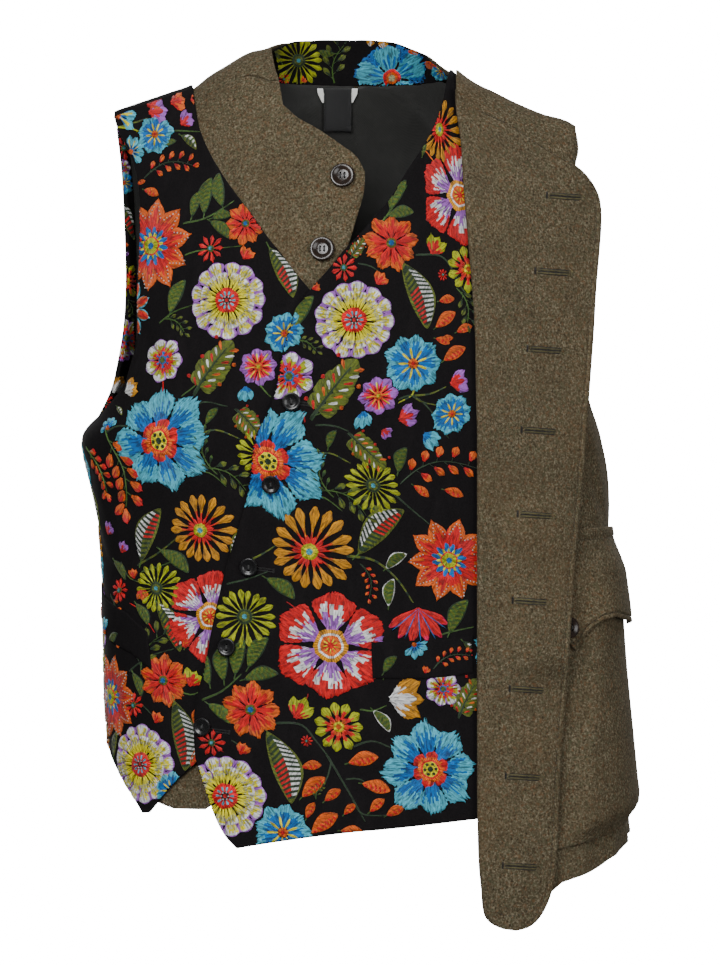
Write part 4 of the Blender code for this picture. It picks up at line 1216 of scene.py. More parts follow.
def hanger_loop(tape):
    """A tape whose two ends go in under the neck facing, folded flat behind the label."""
    rows = (
        # outer edge, inner edge, along the tape
        (on(-35.5, -11.5), on(-30.6, -11.5)),
        (on(-34.8, -15.5), on(-30.0, -15.5)),
        (on(-31.3, -23), on(-27, -18.5)),
        (on(-18.5, -25.5), on(-18.5, -20.5)),
        (on(-6.0, -23), on(-10.2, -18.5)),
        (on(-2.2, -15.5), on(-7.1, -15.5)),
        (on(-1.8, -11.5), on(-6.7, -11.5)),
    )
    return cloth("hanger_loop", BACK, rows, steady(TAPE_LIFT), tape, TAPE_WALL, "tape", TRIM_PITCH)


# ---------------------------------------------------------------- buttons

# Across, thick, dished width, dish depth
BLACK_BUTTON = (15.0, 3.2, 9.4, 0.9)
HORN_BUTTON = (20.0, 4.2, 12.8, 1.2)
FLAP_BUTTON = (17.0, 3.6, 10.6, 1.0)
BUTTON_SIDES = 48
# Sewing holes: places from the middle, radius
TWO_HOLES = (((0, -1.9), (0, 1.9)), 1.05)
FOUR_HOLES = (((-1.7, -1.7), (1.7, -1.7), (1.7, 1.7), (-1.7, 1.7)), 0.95)
CLOSING_BUTTONS = ((-54.3, -269), (-70.5, -334.5), (-87.5, -402), (-104.5, -467.5), (-123, -532))
NECK_BUTTONS = ((-13.8, -87.5), (-30, -146.6))
FLAP_BUTTON_SPOT = (160.5, -452)


def ring_faces(rings, sides, start=0):
    """Quads between rings of points that close on themselves."""
    index = start + np.arange(rings * sides).reshape(rings, sides)
    after = np.roll(index, -1, 1)
    return np.stack((index[:-1], after[:-1], after[1:], index[1:]), -1).reshape(-1, 4)


def turned(profile, sides, centre=(0, 0)):
    """Points and faces of a closed turned solid."""
    angles = np.linspace(0, 2 * math.pi, sides, endpoint=False)[None, :]
    radius, height = (np.array(column)[:, None] for column in zip(*profile))
    points = np.stack(
        (centre[0] + radius * np.cos(angles), centre[1] + radius * np.sin(angles), height + 0 * angles), -1
    ).reshape(-1, 3)
    faces = [tuple(face) for face in ring_faces(len(profile), sides)]
    faces.append(tuple(reversed(range(sides))))
    faces.append(tuple(range(len(points) - sides, len(points))))
    return points, faces


def drilled(points, faces, holes, radius, depth):
    """The solid with round holes through it."""
    body = bpy.data.meshes.new("blank")
    body.from_pydata([tuple(p) for p in points], [], faces)
    drill_points, drill_faces = [], []
    for centre in holes:
        more, quads = turned(((radius, -1.0), (radius, depth + 1.0)), 16, centre)
        drill_faces += [tuple(k + len(drill_points) for k in face) for face in quads]
        drill_points += [tuple(p) for p in more]
    drill = bpy.data.meshes.new("drill")
    drill.from_pydata(drill_points, [], drill_faces)
    objects = [bpy.data.objects.new(mesh.name, mesh) for mesh in (body, drill)]
    for obj in objects:
        bpy.context.scene.collection.objects.link(obj)
    cut = objects[0].modifiers.new("holes", "BOOLEAN")
    cut.object = objects[1]
    cut.operation = "DIFFERENCE"
    cut.solver = "EXACT"
    evaluated = objects[0].evaluated_get(bpy.context.evaluated_depsgraph_get())
    mesh = evaluated.to_mesh()
    points = np.array([vertex.co[:] for vertex in mesh.vertices])
    faces = [tuple(face.vertices) for face in mesh.polygons]
    evaluated.to_mesh_clear()
    for obj in objects:
        bpy.data.objects.remove(obj)
    for mesh in (body, drill):
        bpy.data.meshes.remove(mesh)
    return points, faces


def strand(path, radius, sides=8):
    """Points and faces of a round cord through the given places."""
    path = np.array(path, float)
    run = np.gradient(path, axis=0)
    run /= np.linalg.norm(run, axis=1, keepdims=True)
    side = np.cross(run, (0.31, 0.77, 0.55))
    side /= np.linalg.norm(side, axis=1, keepdims=True)
    other = np.cross(run, side)
    angles = np.linspace(0, 2 * math.pi, sides, endpoint=False)[None, :, None]
    points = path[:, None] + radius * (side[:, None] * np.cos(angles) + other[:, None] * np.sin(angles))
    faces = [tuple(face) for face in ring_faces(len(path), sides)]
    faces.append(tuple(reversed(range(sides))))
    faces.append(tuple(range(len(path) * sides - sides, len(path) * sides)))
    return points.reshape(-1, 3), faces


def button(name, spot, lift, size, holes, material, cord, slot):
    """A turned button with a dished face and real holes, and the thread that sews it on."""
    width, thick, dish_width, dish = size
    half = width / 2
    profile = (
        (0.2, 0.0),
        (half * 0.66, 0.0),
        (half * 0.86, thick * 0.12),
        (half * 0.97, thick * 0.34),
        (half, thick * 0.58),
        (half * 0.985, thick * 0.8),
        (half * 0.94, thick * 0.95),
        (half * 0.87, thick),
        (half * 0.79, thick * 0.97),
        (dish_width * 0.5, thick - dish * 0.35),
        (dish_width * 0.44, thick - dish * 0.8),
        (dish_width * 0.34, thick - dish),
        (0.2, thick - dish * 0.94),
    )
    point, out = figure_frame(FRONT, *spot)
    across = np.cross((0, 0, 1), out)
    across /= np.linalg.norm(across)
    turn = np.stack((across, np.cross(out, across), out))
    foot = point + out * lift
    solid, faces = drilled(*turned(profile, BUTTON_SIDES), holes[0], holes[1], thick)
    make(name + "_turned", foot + solid @ turn, faces, material, None, 35, [name], slot)
    if len(holes[0]) == 2:
        pairs = [(holes[0][0], holes[0][1])]
    else:
        pairs = [(holes[0][0], holes[0][3]), (holes[0][1], holes[0][2])]
    points, faces = [], []
    for (x0, y0), (x1, y1) in pairs:
        for offset in (-0.42, 0.0, 0.42):
            path = []
            for k in range(9):
                share = k / 8
                height = thick - dish + 0.3 - 2.0 * (2 * share - 1) ** 8
                path.append((mix(x0, x1, share) + offset, mix(y0, y1, share), height))
            tube, quads = strand(path, 0.24)
            faces += [tuple(k + len(points) for k in face) for face in quads]
            points += [tuple(p) for p in tube]
    make(name + "_thread", foot + np.array(points) @ turn, faces, cord, None, None, (), slot)


def sew_buttons():
    """The five black buttons of the closing edge, the two horn ones of the lapel and the flap's."""
    black = horn_paint("black_resin", (6, 6, 7), (14, 14, 15), 0.24)
    horn = horn_paint("dark_brown_horn", (9, 7, 6), (36, 24, 17), 0.21)
    cord = cord_paint("black_sewing_thread", (34, 34, 34))
    on_cloth = CLOTH_WALL + SEAM_GAP
    for number, (x, z) in enumerate(CLOSING_BUTTONS, 1):
        lift = THIRD_LIFT + on_cloth + 0.7
        name = f"black_button_{number}"
        button(name, on(x, z), lift, BLACK_BUTTON, TWO_HOLES, black, cord, "black_button")
    for number, (x, z) in enumerate(NECK_BUTTONS, 1):
        name = f"horn_button_{number}"
        button(name, on(x, z), FIRST_LIFT + on_cloth, HORN_BUTTON, FOUR_HOLES, horn, cord, "dark_horn")
    spot = on(*FLAP_BUTTON_SPOT)
    flap_top = SECOND_LIFT + on_cloth + pocket_puff(figure_point(FRONT, *spot)) + LAYER + CLOTH_WALL
    lift = float(flap_top) + 4 * SEAM_GAP + 1.0
    button("flap_button", spot, lift, FLAP_BUTTON, FOUR_HOLES, horn, cord, "dark_horn")


# ---------------------------------------------------------------- sewing

STITCH = (2.5, 1.0, 0.8)  # length, gap and width of the topstitching
CLOSE_STITCH = (2.4, 0.7, 0.75)  # of that along an edge, which lies in a groove
PURL = 0.85  # pitch of a buttonhole's stitches


def bar(bag, centre, run, length, width, name, high=0.3):
    """One stitch: a short rounded bar of thread."""
    run = np.array(run) / np.hypot(*run)
    side = np.array((-run[1], run[0]))
    t = np.linspace(-0.5, 0.5, 5)[:, None]
    v = np.array((-0.5, -0.2, 0.2, 0.5))[None, :]
    points = np.array(centre) + (t * length)[..., None] * run + (v * width)[..., None] * side
    heights = np.full((5, 4), high)
    heights[:, 0], heights[:, -1], heights[0], heights[-1] = SUNK, SUNK, SUNK, SUNK
    colours = np.tile(floss(name), (4, 3, 1))
    grain = flat_pairs(t * length, v * width + bag.random.uniform(0, 30))
    bag.add(points, heights, colours, grain)


def run_of_stitches(bag, path, stitch=STITCH, high=0.2):
    """Topstitching along a line of flat places."""
    path = np.array(path, float)
    step = np.linalg.norm(np.diff(path, axis=0), axis=1)
    keep = np.concatenate(([True], step > 1e-6))
    path = path[keep]
    reach = np.concatenate(([0.0], np.cumsum(np.linalg.norm(np.diff(path, axis=0), axis=1))))
    length, gap, width = stitch
    count = int(reach[-1] // (length + gap))
    for k in range(count):
        middle = (k + 0.5) * (length + gap)
        ends = [np.array([np.interp(middle + d, reach, path[:, c]) for c in (0, 1)]) for d in (-0.5, 0.5)]
        here = (ends[0] + ends[1]) / 2
        bar(bag, here, ends[1] - ends[0], length, width, "bark_thread_and_shadow", high)


HOLE_LENGTH, HOLE_RIM, HOLE_BARS = 15, 1.4, 4  # a buttonhole's length, rim and stitches in an end bar
STRIP_HOLE_LENGTH, STRIP_HOLE_TURN, STRIP_HOLE_SHIFT = 29.0, -4, 5.5


def worked_hole(bag, centre, degrees, name):
    """A worked buttonhole: a slit drawn as a strip of painted shade, with close stitches on both sides and
    a bar at each end.
    """
    length, wide = HOLE_LENGTH, HOLE_RIM
    angle = math.radians(degrees)
    run = np.array((math.cos(angle), math.sin(angle)))
    side = np.array((-run[1], run[0]))
    centre = np.array(centre, float)
    # The slit is a near-black strip of painted shade, flush with the cloth
    ribbon(bag, [centre - run * length * 0.48, centre, centre + run * length * 0.48], 1.1, "slit_shade", 0.02, 1.0)
    count = round(length / PURL)
    for k in range(count + 1):
        along = (k / count - 0.5) * length
        for sign in (-1, 1):
            here = centre + run * along + side * sign * (wide / 2 + 0.3)
            bar(bag, here, side, wide, PURL * 1.1, name, 0.5)
    for sign in (-1, 1):
        for k in range(HOLE_BARS):
            here = centre + run * sign * (length / 2 + 0.6) + side * (k - (HOLE_BARS - 1) / 2)
            bar(bag, here, run, 1.9, 1.05, name, 0.6)


def strip_hole(bag, centre):
    """A long worked buttonhole: olive rims on a band of painted shadow, a bar at its left, a point at its
    right.
    """
    angle = math.radians(STRIP_HOLE_TURN)
    run = np.array((math.cos(angle), math.sin(angle)))
    side = np.array((-run[1], run[0]))
    first, last = centre - run * STRIP_HOLE_LENGTH / 2, centre + run * STRIP_HOLE_LENGTH / 2
    # Painted shadow: this dark band shows as dark outlines beside the raised rims and as a dark line
    # between them
    ribbon(bag, [first, np.array(centre), last], 7.6, "bark_thread_and_shadow", 0.34, 1.0)
    for sign in (-1, 1):
        rim = side * sign * 1.25
        ribbon(bag, [first + rim, centre + rim, last + rim * 0.8], 2.2, "khaki", 0.62, 1.0)
        tip = last + run * 1.0 + side * sign * 1.2
        bar(bag, tip, run * 2.2 - side * sign * 2.2, 4.2, 1.5, "khaki", 0.5)
    bar(bag, first - run * 0.4, side, 6.8, 2.2, "bark_thread_and_shadow", 0.75)


def edge_line(panel, edge, inset, low=0.0, high=1.0):
    """Flat places (arc length, height) that keep an inset from one edge of a panel."""
    cut = CUTS[panel]
    if edge in ("start", "end"):
        keys = np.linspace(low, high, 160) * cut.length
        share = inset / cut.width(keys)
        turn, rise = cut.spots(keys, share if edge == "start" else 1 - share)
    else:
        u = np.linspace(low, high, 120)
        turn, rise = cut.spots(np.full(120, inset if edge == "first" else cut.length - inset), u)
    if cut.home == BACK:
        turn, rise = np.where(turn < 0, -math.pi - turn, math.pi - turn), rise
    return np.stack(arc_of(turn, rise), -1)


# Buttonholes of the turned-back edge and of the closing edge, in chart units
STRIP_HOLES = (
    (560, 196), (548, 272), (540, 350), (534, 431), (530, 515),
    (525, 601), (522, 689), (518, 776), (515, 865),
)
STRIP_FOOT = ((495, 914), (505, 918), (515, 918), (524, 915), (532, 910), (538, 901))
CLOSING_HOLES = ((304, 404), (285, 486), (264, 569), (243, 650), (220, 730))
TOP_HOLE = (329, 325)


def viewed(x, y):
    return ((x - CHART_X) * CHART, (CHART_Z - y) * CHART)


def sew_trims(panels, floss_paint):
    """Buttonholes and topstitching."""
    bag = Stitches(5)
    for x, y in STRIP_HOLES:
        strip_hole(bag, viewed(x + STRIP_HOLE_SHIFT, y))
    keys = np.linspace(0.01, 0.985, 220) * STRIP.length
    fold_x, fold_z, free_x, free_z = STRIP.ends(keys)
    share = SEAM_INSET / STRIP.width(keys)
    line = np.stack((mix(free_x, fold_x, share), mix(free_z, fold_z, share)), -1)
    run_of_stitches(bag, line, CLOSE_STITCH, 0.1)
    run_of_stitches(bag, [viewed(x, y - 4) for x, y in STRIP_FOOT])
    stitched("sewing_turnback", panels["tweed_left_turnback"], bag, floss_paint, True)

    bag = Stitches(7)
    for x, y in CLOSING_HOLES:
        worked_hole(bag, charted(x, y, THIRD_LIFT + CLOTH_WALL), -8, "coal")
    worked_hole(bag, charted(*TOP_HOLE, THIRD_LIFT), -20, "coal")
    stitched("sewing_closing_edge", panels["embroidered_left_front"], bag, floss_paint)

    bag = Stitches(9)
    run_of_stitches(bag, edge_line("tweed_right_front", "end", SEAM_INSET, 0.05), CLOSE_STITCH, 0.1)
    stitched("sewing_lapel", panels["tweed_right_front"], bag, floss_paint)

    bag = Stitches(13)
    run_of_stitches(bag, edge_line("tweed_left_front", "end", 6.0, 0.1))
    run_of_stitches(bag, edge_line("tweed_left_front", "first", 9.0))
    stitched("sewing_left_front", panels["tweed_left_front"], bag, floss_paint)

    bag = Stitches(17)
    for edge, inset in (("start", 5.0), ("end", 5.0), ("last", 9.0)):
        run_of_stitches(bag, edge_line("bellows_pocket", edge, inset))
    stitched("sewing_pocket", panels["bellows_pocket"], bag, floss_paint)

    bag = Stitches(19)
    for edge, inset in (("end", SEAM_INSET), ("start", 9.6)):
        run_of_stitches(bag, edge_line("pocket_flap", edge, inset, 0.02, 0.98), CLOSE_STITCH, 0.1)
    arc, z = arc_of(*(np.atleast_1d(value) for value in on(*FLAP_BUTTON_SPOT)))
    worked_hole(bag, (float(arc[0]), float(z[0])), 90, "moss")
    stitched("sewing_flap", panels["pocket_flap"], bag, floss_paint)


# ---------------------------------------------------------------- embroidery: places

# Reflectance of each floss, in linear light, and of the painted shade used in buttonholes
FLOSS = {
    "sky": (0.080, 0.520, 0.700),
    "blue": (0.002, 0.160, 0.540),
    "orange": (0.860, 0.130, 0.002),
    "red": (0.760, 0.006, 0.008),
    "pink": (0.866, 0.002, 0.107),
    "yellow": (0.860, 0.760, 0.003),
    "lime": (0.450, 0.500, 0.003),
    "gold": (0.700, 0.290, 0.002),
    "lilac": (0.420, 0.130, 0.620),
    "white": (0.900, 0.900, 0.900),
    "cream": (0.600, 0.600, 0.300),
    "olive": (0.130, 0.170, 0.012),
    "green": (0.060, 0.140, 0.020),
    "forest": (0.020, 0.050, 0.018),
    "moss": (0.050, 0.052, 0.018),
    "khaki": (0.115, 0.098, 0.038),
    # The next is dark topstitching thread, and also painted shadow under a strip buttonhole's rims
    "bark_thread_and_shadow": (0.016, 0.012, 0.008),
    "coal": (0.013, 0.013, 0.013),
    # Painted shade, for a buttonhole's slit
    "slit_shade": (0.003, 0.003, 0.003),
}
ROUND_END = 0.955  # where a round petal's width stops closing
SUNK = -0.35  # height of a motif's border, inside the velvet
SHARES = np.linspace(-1.45, 0.96, 56)
ARC_STEP = 4.0
ARC_END = 620.0


def unrolled():
    """Tables between turn and arc length round the figure, a row for each share of the height."""
    turns = np.linspace(-math.pi, math.pi, 481)
    arcs = np.linspace(-ARC_END, ARC_END, int(2 * ARC_END / ARC_STEP) + 1)
    to_arc, to_turn = [], []
    for share in SHARES:
        points = figure_point(FRONT, turns, float(rise_of(share)))
        run = np.concatenate(([0.0], np.cumsum(np.linalg.norm(np.diff(points, axis=0), axis=1))))
        run -= run[len(turns) // 2]
        to_arc.append(run)
        to_turn.append(np.interp(arcs, run, turns))
    return turns, np.array(to_arc), arcs, np.array(to_turn)


TURNS, TO_ARC, ARCS, TO_TURN = unrolled()


def looked_up(table, share, axis, value):
    """Bilinear value of a table with a row for each share."""
    row = np.clip((share - SHARES[0]) / (SHARES[1] - SHARES[0]), 0, len(SHARES) - 1.001)
    column = np.clip((value - axis[0]) / (axis[1] - axis[0]), 0, len(axis) - 1.001)
    i, j = row.astype(int), column.astype(int)
    f, g = row - i, column - j
    low = mix(table[i, j], table[i, j + 1], g)
    return mix(low, mix(table[i + 1, j], table[i + 1, j + 1], g), f)


def share_at(x, z):
    height = np.where(z > ARMPIT_LEVEL, shoulder_height(x), SHOULDER_LEVEL)
    return np.minimum((z - ARMPIT_LEVEL) / (height - ARMPIT_LEVEL), 0.99)


def spot_of(arc, z):
    """Turn and rise at an arc length from the middle of the front, and a height."""
    x = np.clip(arc, -200, 190)
    for _ in range(4):
        share = share_at(x, z)
        turn = looked_up(TO_TURN, share, ARCS, arc)
        x = figure_point(FRONT, turn, rise_of(share))[..., 0]
    return turn, rise_of(share)


def arc_of(turn, rise):
    """Arc length and height of a spot."""
    share = np.where(rise > 0, 1 - (1 - rise) ** 2, 2 * rise)
    return looked_up(TO_ARC, share, TURNS, turn), figure_point(FRONT, turn, rise)[..., 2]


def charted(x, y, lift):
    """Arc length and height of a place on an embroidery chart, which is drawn as seen from the front."""
    turn, rise = seen(*viewed(x, y), lift)
    arc, z = arc_of(np.atleast_1d(turn), np.atleast_1d(rise))
    return float(arc[0]), float(z[0])


def inside(polygon, points):
    """Which points are inside the polygon, and the nearest place on its border to each."""
    first, second = polygon, np.roll(polygon, -1, 0)
    x, y = points[:, None, 0], points[:, None, 1]
    crosses = (first[None, :, 1] > y) != (second[None, :, 1] > y)
    rise = np.where(second[:, 1] == first[:, 1], 1e-9, second[:, 1] - first[:, 1])
    at_x = first[None, :, 0] + (y - first[None, :, 1]) * ((second - first)[:, 0] / rise)[None, :]
    within = (crosses & (x < at_x)).sum(1) % 2 == 1
    run = second - first
    along = ((points[:, None, :] - first[None]) * run[None]).sum(-1) / np.maximum((run**2).sum(-1), 1e-9)
    near = first[None] + run[None] * np.clip(along, 0, 1)[..., None]
    best = ((near - points[:, None, :]) ** 2).sum(-1).argmin(1)
    return within, near[np.arange(len(points)), best]


# ---------------------------------------------------------------- embroidery: stitched shapes


class Stitches:
    """Raised patches of floss in flat millimetres: points, heights, faces, colours and grain."""

    def __init__(self, seed):
        self.random = random.Random(seed)
        self.points, self.heights, self.faces, self.colours, self.grain = [], [], [], [], []
        self.count = 0
        self.level = 0.0

    def add(self, points, heights, colours, grain):
        """One grid patch. Colours has one for each face."""
        rows, columns = heights.shape
        self.points.append(points.reshape(-1, 2))
        self.heights.append((np.where(heights < 0, heights, heights + self.level)).ravel())
        self.faces.append(grid_faces(rows, columns, self.count))
        spread = [[self.random.uniform(0.9, 1.06) for _ in range(columns - 1)] for _ in range(rows - 1)]
        strands = [self.random.uniform(0.66, 1.1) for _ in range(columns - 1)]
        self.colours.append((colours * (np.array(spread) * strands)[..., None]).reshape(-1, 3))
        self.grain.append(grain.reshape(-1, 2))
        self.count += rows * columns


def floss(name):
    return np.array(FLOSS[name])


def banded(stops, rib=None, rim=None, zig=0.06):
    """Colours by share along a petal, with a rib down its middle and a rim round it."""

    def tint(t, v, last, dice):
        row, _ = np.indices(t.shape)
        here = t + zig * np.array([dice.uniform(-1.5, 1.5) for _ in range(t.shape[1])])
        colours = np.zeros(t.shape + (3,)) + floss(stops[0][1])
        for start, name in stops:
            colours[here >= start] = floss(name)
        if rib:
            low, high, half, name = rib
            colours[(np.abs(v) < half) & (here > low) & (here < high)] = floss(name)
        if rim:
            colours[(np.abs(v) > 0.72) & (t > 0.3)] = floss(rim)
            colours[row == last] = floss(rim)
        return colours

    return tint


def turned_about(c, angle):
    """Places at (out, across) from a centre, in its turned directions."""
    cosine, sine = math.cos(angle), math.sin(angle)
    return lambda out, off: (c[0] + cosine * out - sine * off, c[1] + sine * out + cosine * off)


def face_middles(t, v):
    """The shares along and across at the middle of each face of a grid."""
    return (t[1:] + t[:-1]) / 2 + 0 * v[:, 1:], (v[:, 1:] + v[:, :-1]) / 2 + 0 * t[1:]


def petal(
    bag, centre, angle, inner, length, width, tint,
    peak=0.6, blunt=0.6, high=0.7, fray=0.0, foot=0.3, fine=1.0,
):
    """A petal pointing away from a centre, its stitches running along it."""
    along = max(5, min(16, round(length * fine / 1.7)))
    across = max(4, min(20, round(width * fine / 1.4)))
    t = np.linspace(0, 1, along + 1)[:, None]
    v = np.linspace(-1, 1, across + 1)[None, :]
    full = np.clip(t, 0, ROUND_END if blunt < 0.6 else 1)
    body = np.sin(math.pi * full ** (math.log(0.5) / math.log(peak))) ** blunt
    half = width / 2 * np.maximum(body, foot * (1 - t))
    tip = 1 - (0.5 - 0.42 * min(blunt, 1)) * v**2 * t**3 * 0.6
    if fray:
        wobble = np.array([bag.random.uniform(-1, 1) for _ in range(across + 1)])[None, :]
        tip = tip + fray * wobble * t**3
        half = half * (1 + fray * 0.6 * (-1.0) ** np.arange(along + 1)[:, None])
    out, side = inner + length * t * tip, v * half
    points = np.stack(turned_about(centre, angle)(out, side), -1)
    swell = 0.45 + 0.55 * np.sin(math.pi * (0.1 + 0.8 * t))
    heights = 0.15 + high * np.sqrt(np.clip(1 - v**2, 0, 1)) * swell
    heights[:, 0], heights[:, -1], heights[-1] = SUNK, SUNK, SUNK
    grain = flat_pairs(side + bag.random.uniform(0, 40), out)
    bag.add(points, heights, tint(*face_middles(t, v), along - 1, bag.random), grain)


def ring_of(bag, centre, count, inner, length, width, tint, spin=0.0, sweep=360.0, lean=0.0, **form):
    """Petals all round a centre, or over part of a turn, and longer on one side by its lean."""
    towards = bag.random.uniform(0, 2 * math.pi) if lean else 0.0
    for k in range(count):
        step = sweep / count if sweep >= 360 else sweep / max(count - 1, 1)
        angle = math.radians(spin + k * step + bag.random.uniform(-2.5, 2.5))
        grow = bag.random.uniform(0.93, 1.05) * (1 + lean * math.cos(angle - towards))
        petal(bag, centre, angle, inner, length * grow, width, tint, **form)


def disc(bag, centre, *bands):
    """A flower's middle: rings of (radius, floss, height) from the outside in, a little domed."""
    sides = 14 if bands[0][0] > 3 else 9
    angles = np.linspace(0, 2 * math.pi, sides + 1)[None, :]
    radii = [bands[0][0] * 1.08] + [band[0] for band in bands] + [0.0]
    heights = [SUNK] + [band[2] for band in bands] + [bands[-1][2] + 0.1]
    radius = np.array(radii)[:, None]
    wobble = 1 + 0.05 * np.sin(angles * 5 + bag.random.uniform(0, 6))
    points = np.stack(
        (centre[0] + radius * wobble * np.cos(angles), centre[1] + radius * wobble * np.sin(angles)), -1
    )
    tall = np.array(heights)[:, None] + 0 * angles
    names = [bands[0][1]] + [band[1] for band in bands]
    colours = np.stack([np.tile(floss(name), (sides, 1)) for name in names])
    grain = flat_pairs(angles * 4, radius)
    bag.add(points, tall, colours, grain)


def ribbon(bag, path, width, name, high=0.55, taper=0.5):
    """A stem through the given places."""
    path = [np.array(place, float) for place in path]
    reach = [0.0]
    for last, this in zip(path, path[1:]):
        reach.append(reach[-1] + np.linalg.norm(this - last))
    keys = np.linspace(0, reach[-1], max(3, math.ceil(reach[-1] / 4)) + 1)
    place = np.stack([on_curve(reach, c, smooth_slopes(reach, c), keys) for c in zip(*path)], -1)
    run = np.gradient(place, axis=0)
    run /= np.maximum(np.linalg.norm(run, axis=1, keepdims=True), 1e-6)
    across = np.stack((-run[:, 1], run[:, 0]), -1)
    v = np.array([-1, -0.4, 0.4, 1])
    half = width / 2 * np.linspace(1, taper, len(keys))
    points = place[:, None] + across[:, None] * (half[:, None] * v)[..., None]
    heights = np.tile(np.array([SUNK, high, high, SUNK]), (len(keys), 1))
    heights[0], heights[-1] = SUNK, SUNK
    colours = np.tile(floss(name), (len(keys) - 1, 3, 1))
    if name in ("olive", "lime"):
        colours[::3] = floss("forest")
    grain = flat_pairs(half[:, None] * v, keys[:, None])
    bag.add(points, heights, colours, grain)


def smooth_slopes(keys, values):
    """Tangents of a freely curving line."""
    last = len(keys) - 1
    return [
        (values[min(i + 1, last)] - values[max(i - 1, 0)]) / (keys[min(i + 1, last)] - keys[max(i - 1, 0)])
        for i in range(last + 1)
    ]


# ---------------------------------------------------------------- embroidery: motifs
# Each is sewn round a centre with a size and a spin in degrees. A flower's layers give their sizes
# as shares of the flower's own.


def flower(*layers):
    def sew(bag, c, r, spin):
        for layer in layers:
            layer(bag, c, r, spin)

    return sew


def ring(count, inner, length, width, *stops, turn=0, sweep=360.0, rib=None, rim=None, zig=0.06, **form):
    """Petals round the centre. Stops are the shares along a petal where each floss starts."""
    tint = banded(stops, rib, rim, zig)

    def sew(bag, c, r, spin):
        ring_of(bag, c, count, r * inner, r * length, r * width, tint, spin + turn, sweep, **form)

    return sew


def eye(*bands):
    """The middle: (radius, floss, height) from the outside in."""
    return lambda bag, c, r, spin: disc(bag, c, *((r * size, name, high) for size, name, high in bands))


def dots(reach, name, high, share=0.0, size=0.0):
    """Six dots round the centre, as wide as a share of the flower or of a fixed size."""

    def sew(bag, c, r, spin):
        for k in range(6):
            angle = math.radians(60 * k + spin)
            place = (c[0] + r * reach * math.cos(angle), c[1] + r * reach * math.sin(angle))
            disc(bag, place, (r * share + size, name, high))

    return sew


def star_beads(bag, c, r, spin):
    """White dots along both edges of a star's ten points."""
    for k in range(10):
        place = turned_about(c, math.radians(spin + 36 * k))
        for lean in (-1, 1):
            for step in range(5):
                spot = place(r * (0.62 + 0.075 * step), lean * r * (0.145 - 0.027 * step))
                disc(bag, spot, (0.55, "white", 1.15))


blue_daisy = flower(
    ring(
        9, 0.2, 0.84, 0.68, (0, "blue"), (0.62, "sky"),
        rim="sky", zig=0.1, peak=0.72, blunt=0.45, fray=0.09,
    ),
    ring(9, 0.12, 0.5, 0.14, (0, "yellow"), turn=20, high=1.0),
    eye((0.17, "orange", 1.2), (0.08, "red", 1.4)),
)
big_blue = flower(
    ring(
        8, 0.2, 0.86, 0.64, (0, "blue"), (0.56, "sky"),
        rim="sky", zig=0.13, peak=0.7, blunt=0.5, fray=0.1,
    ),
    ring(
        6, 0.08, 0.36, 0.34, (0, "orange"), (0.55, "red"),
        turn=12, rim="red", zig=0.1, peak=0.7, blunt=0.5, fray=0.06, high=1.0,
    ),
    eye((0.27, "orange", 1.1), (0.21, "red", 1.2), (0.17, "yellow", 1.3), (0.06, "forest", 1.5)),
    dots(0.12, "forest", 1.6, share=0.035),
)
# Broad ruffled petals with blue rays and a blue border, round a red ring
blue_pansy = flower(
    ring(5, 0.2, 0.86, 1.1, (0, "sky"), rim="blue", peak=0.72, blunt=0.36, fray=0.13),
    *(
        ring(1, 0.26, reach, 0.13, (0, "blue"), turn=72 * k + lean, peak=0.6, high=1.0)
        for k in range(5)
        for lean, reach in ((-18, 0.44), (0, 0.52), (17, 0.42))
    ),
    eye((0.26, "red", 1.2), (0.17, "orange", 1.3), (0.1, "cream", 1.4)),
)
orange_star = flower(
    ring(
        10, 0.3, 0.74, 0.5, (0, "red"), (0.42, "orange"),
        rib=(0.0, 0.6, 0.3, "red"), zig=0.12, peak=0.42, blunt=0.8, fray=0.04,
    ),
    star_beads,
    ring(12, 0.16, 0.32, 0.16, (0, "blue"), turn=9, peak=0.5, high=1.0),
    ring(12, 0.14, 0.2, 0.09, (0, "yellow"), peak=0.4, high=1.2),
    eye((0.21, "red", 1.2), (0.18, "lime", 1.3), (0.07, "blue", 1.5)),
)
ROSETTE_STOPS = ((0, "yellow"), (0.28, "cream"), (0.46, "yellow"), (0.64, "white"))
ROSETTE_FORM = {"rim": "lilac", "zig": 0.12, "peak": 0.74, "blunt": 0.36}
rosette = flower(
    ring(13, 0.55, 0.47, 0.5, *ROSETTE_STOPS, high=0.5, **ROSETTE_FORM),
    ring(12, 0.42, 0.36, 0.4, *ROSETTE_STOPS, turn=14, high=0.75, **ROSETTE_FORM),
    ring(28, 0.26, 0.38, 0.1, (0, "yellow"), (0.7, "cream"), high=1.0),
    eye((0.31, "red", 1.0), (0.11, "coal", 1.1), (0.05, "red", 1.2)),
    ring(10, 0.1, 0.16, 0.1, (0, "sky"), high=1.3, foot=0.6),
    dots(0.09, "white", 1.6, size=0.6),
)
orange_daisy = flower(
    ring(
        9, 0.16, 0.88, 0.56, (0, "red"), (0.52, "orange"),
        rib=(0.0, 0.75, 0.25, "red"), zig=0.12, peak=0.72, blunt=0.45, fray=0.08,
    ),
    eye((0.18, "olive", 1.1), (0.1, "blue", 1.25)),
)
small_red = flower(
    ring(9, 0.14, 0.86, 0.34, (0, "red"), peak=0.7, fray=0.14),
    eye((0.24, "green", 1.0), (0.12, "sky", 1.15)),
)
six_petal = flower(
    ring(
        6, 0.22, 0.84, 0.86, (0, "lilac"), (0.34, "white"), (0.56, "red"),
        rim="red", zig=0.13, peak=0.72, blunt=0.42, fray=0.04, fine=1.9,
    ),
    eye((0.31, "gold", 1.0), (0.24, "white", 1.1), (0.2, "orange", 1.15), (0.12, "red", 1.3)),
    ring(9, 0.02, 0.16, 0.06, (0, "yellow"), high=1.4),
)
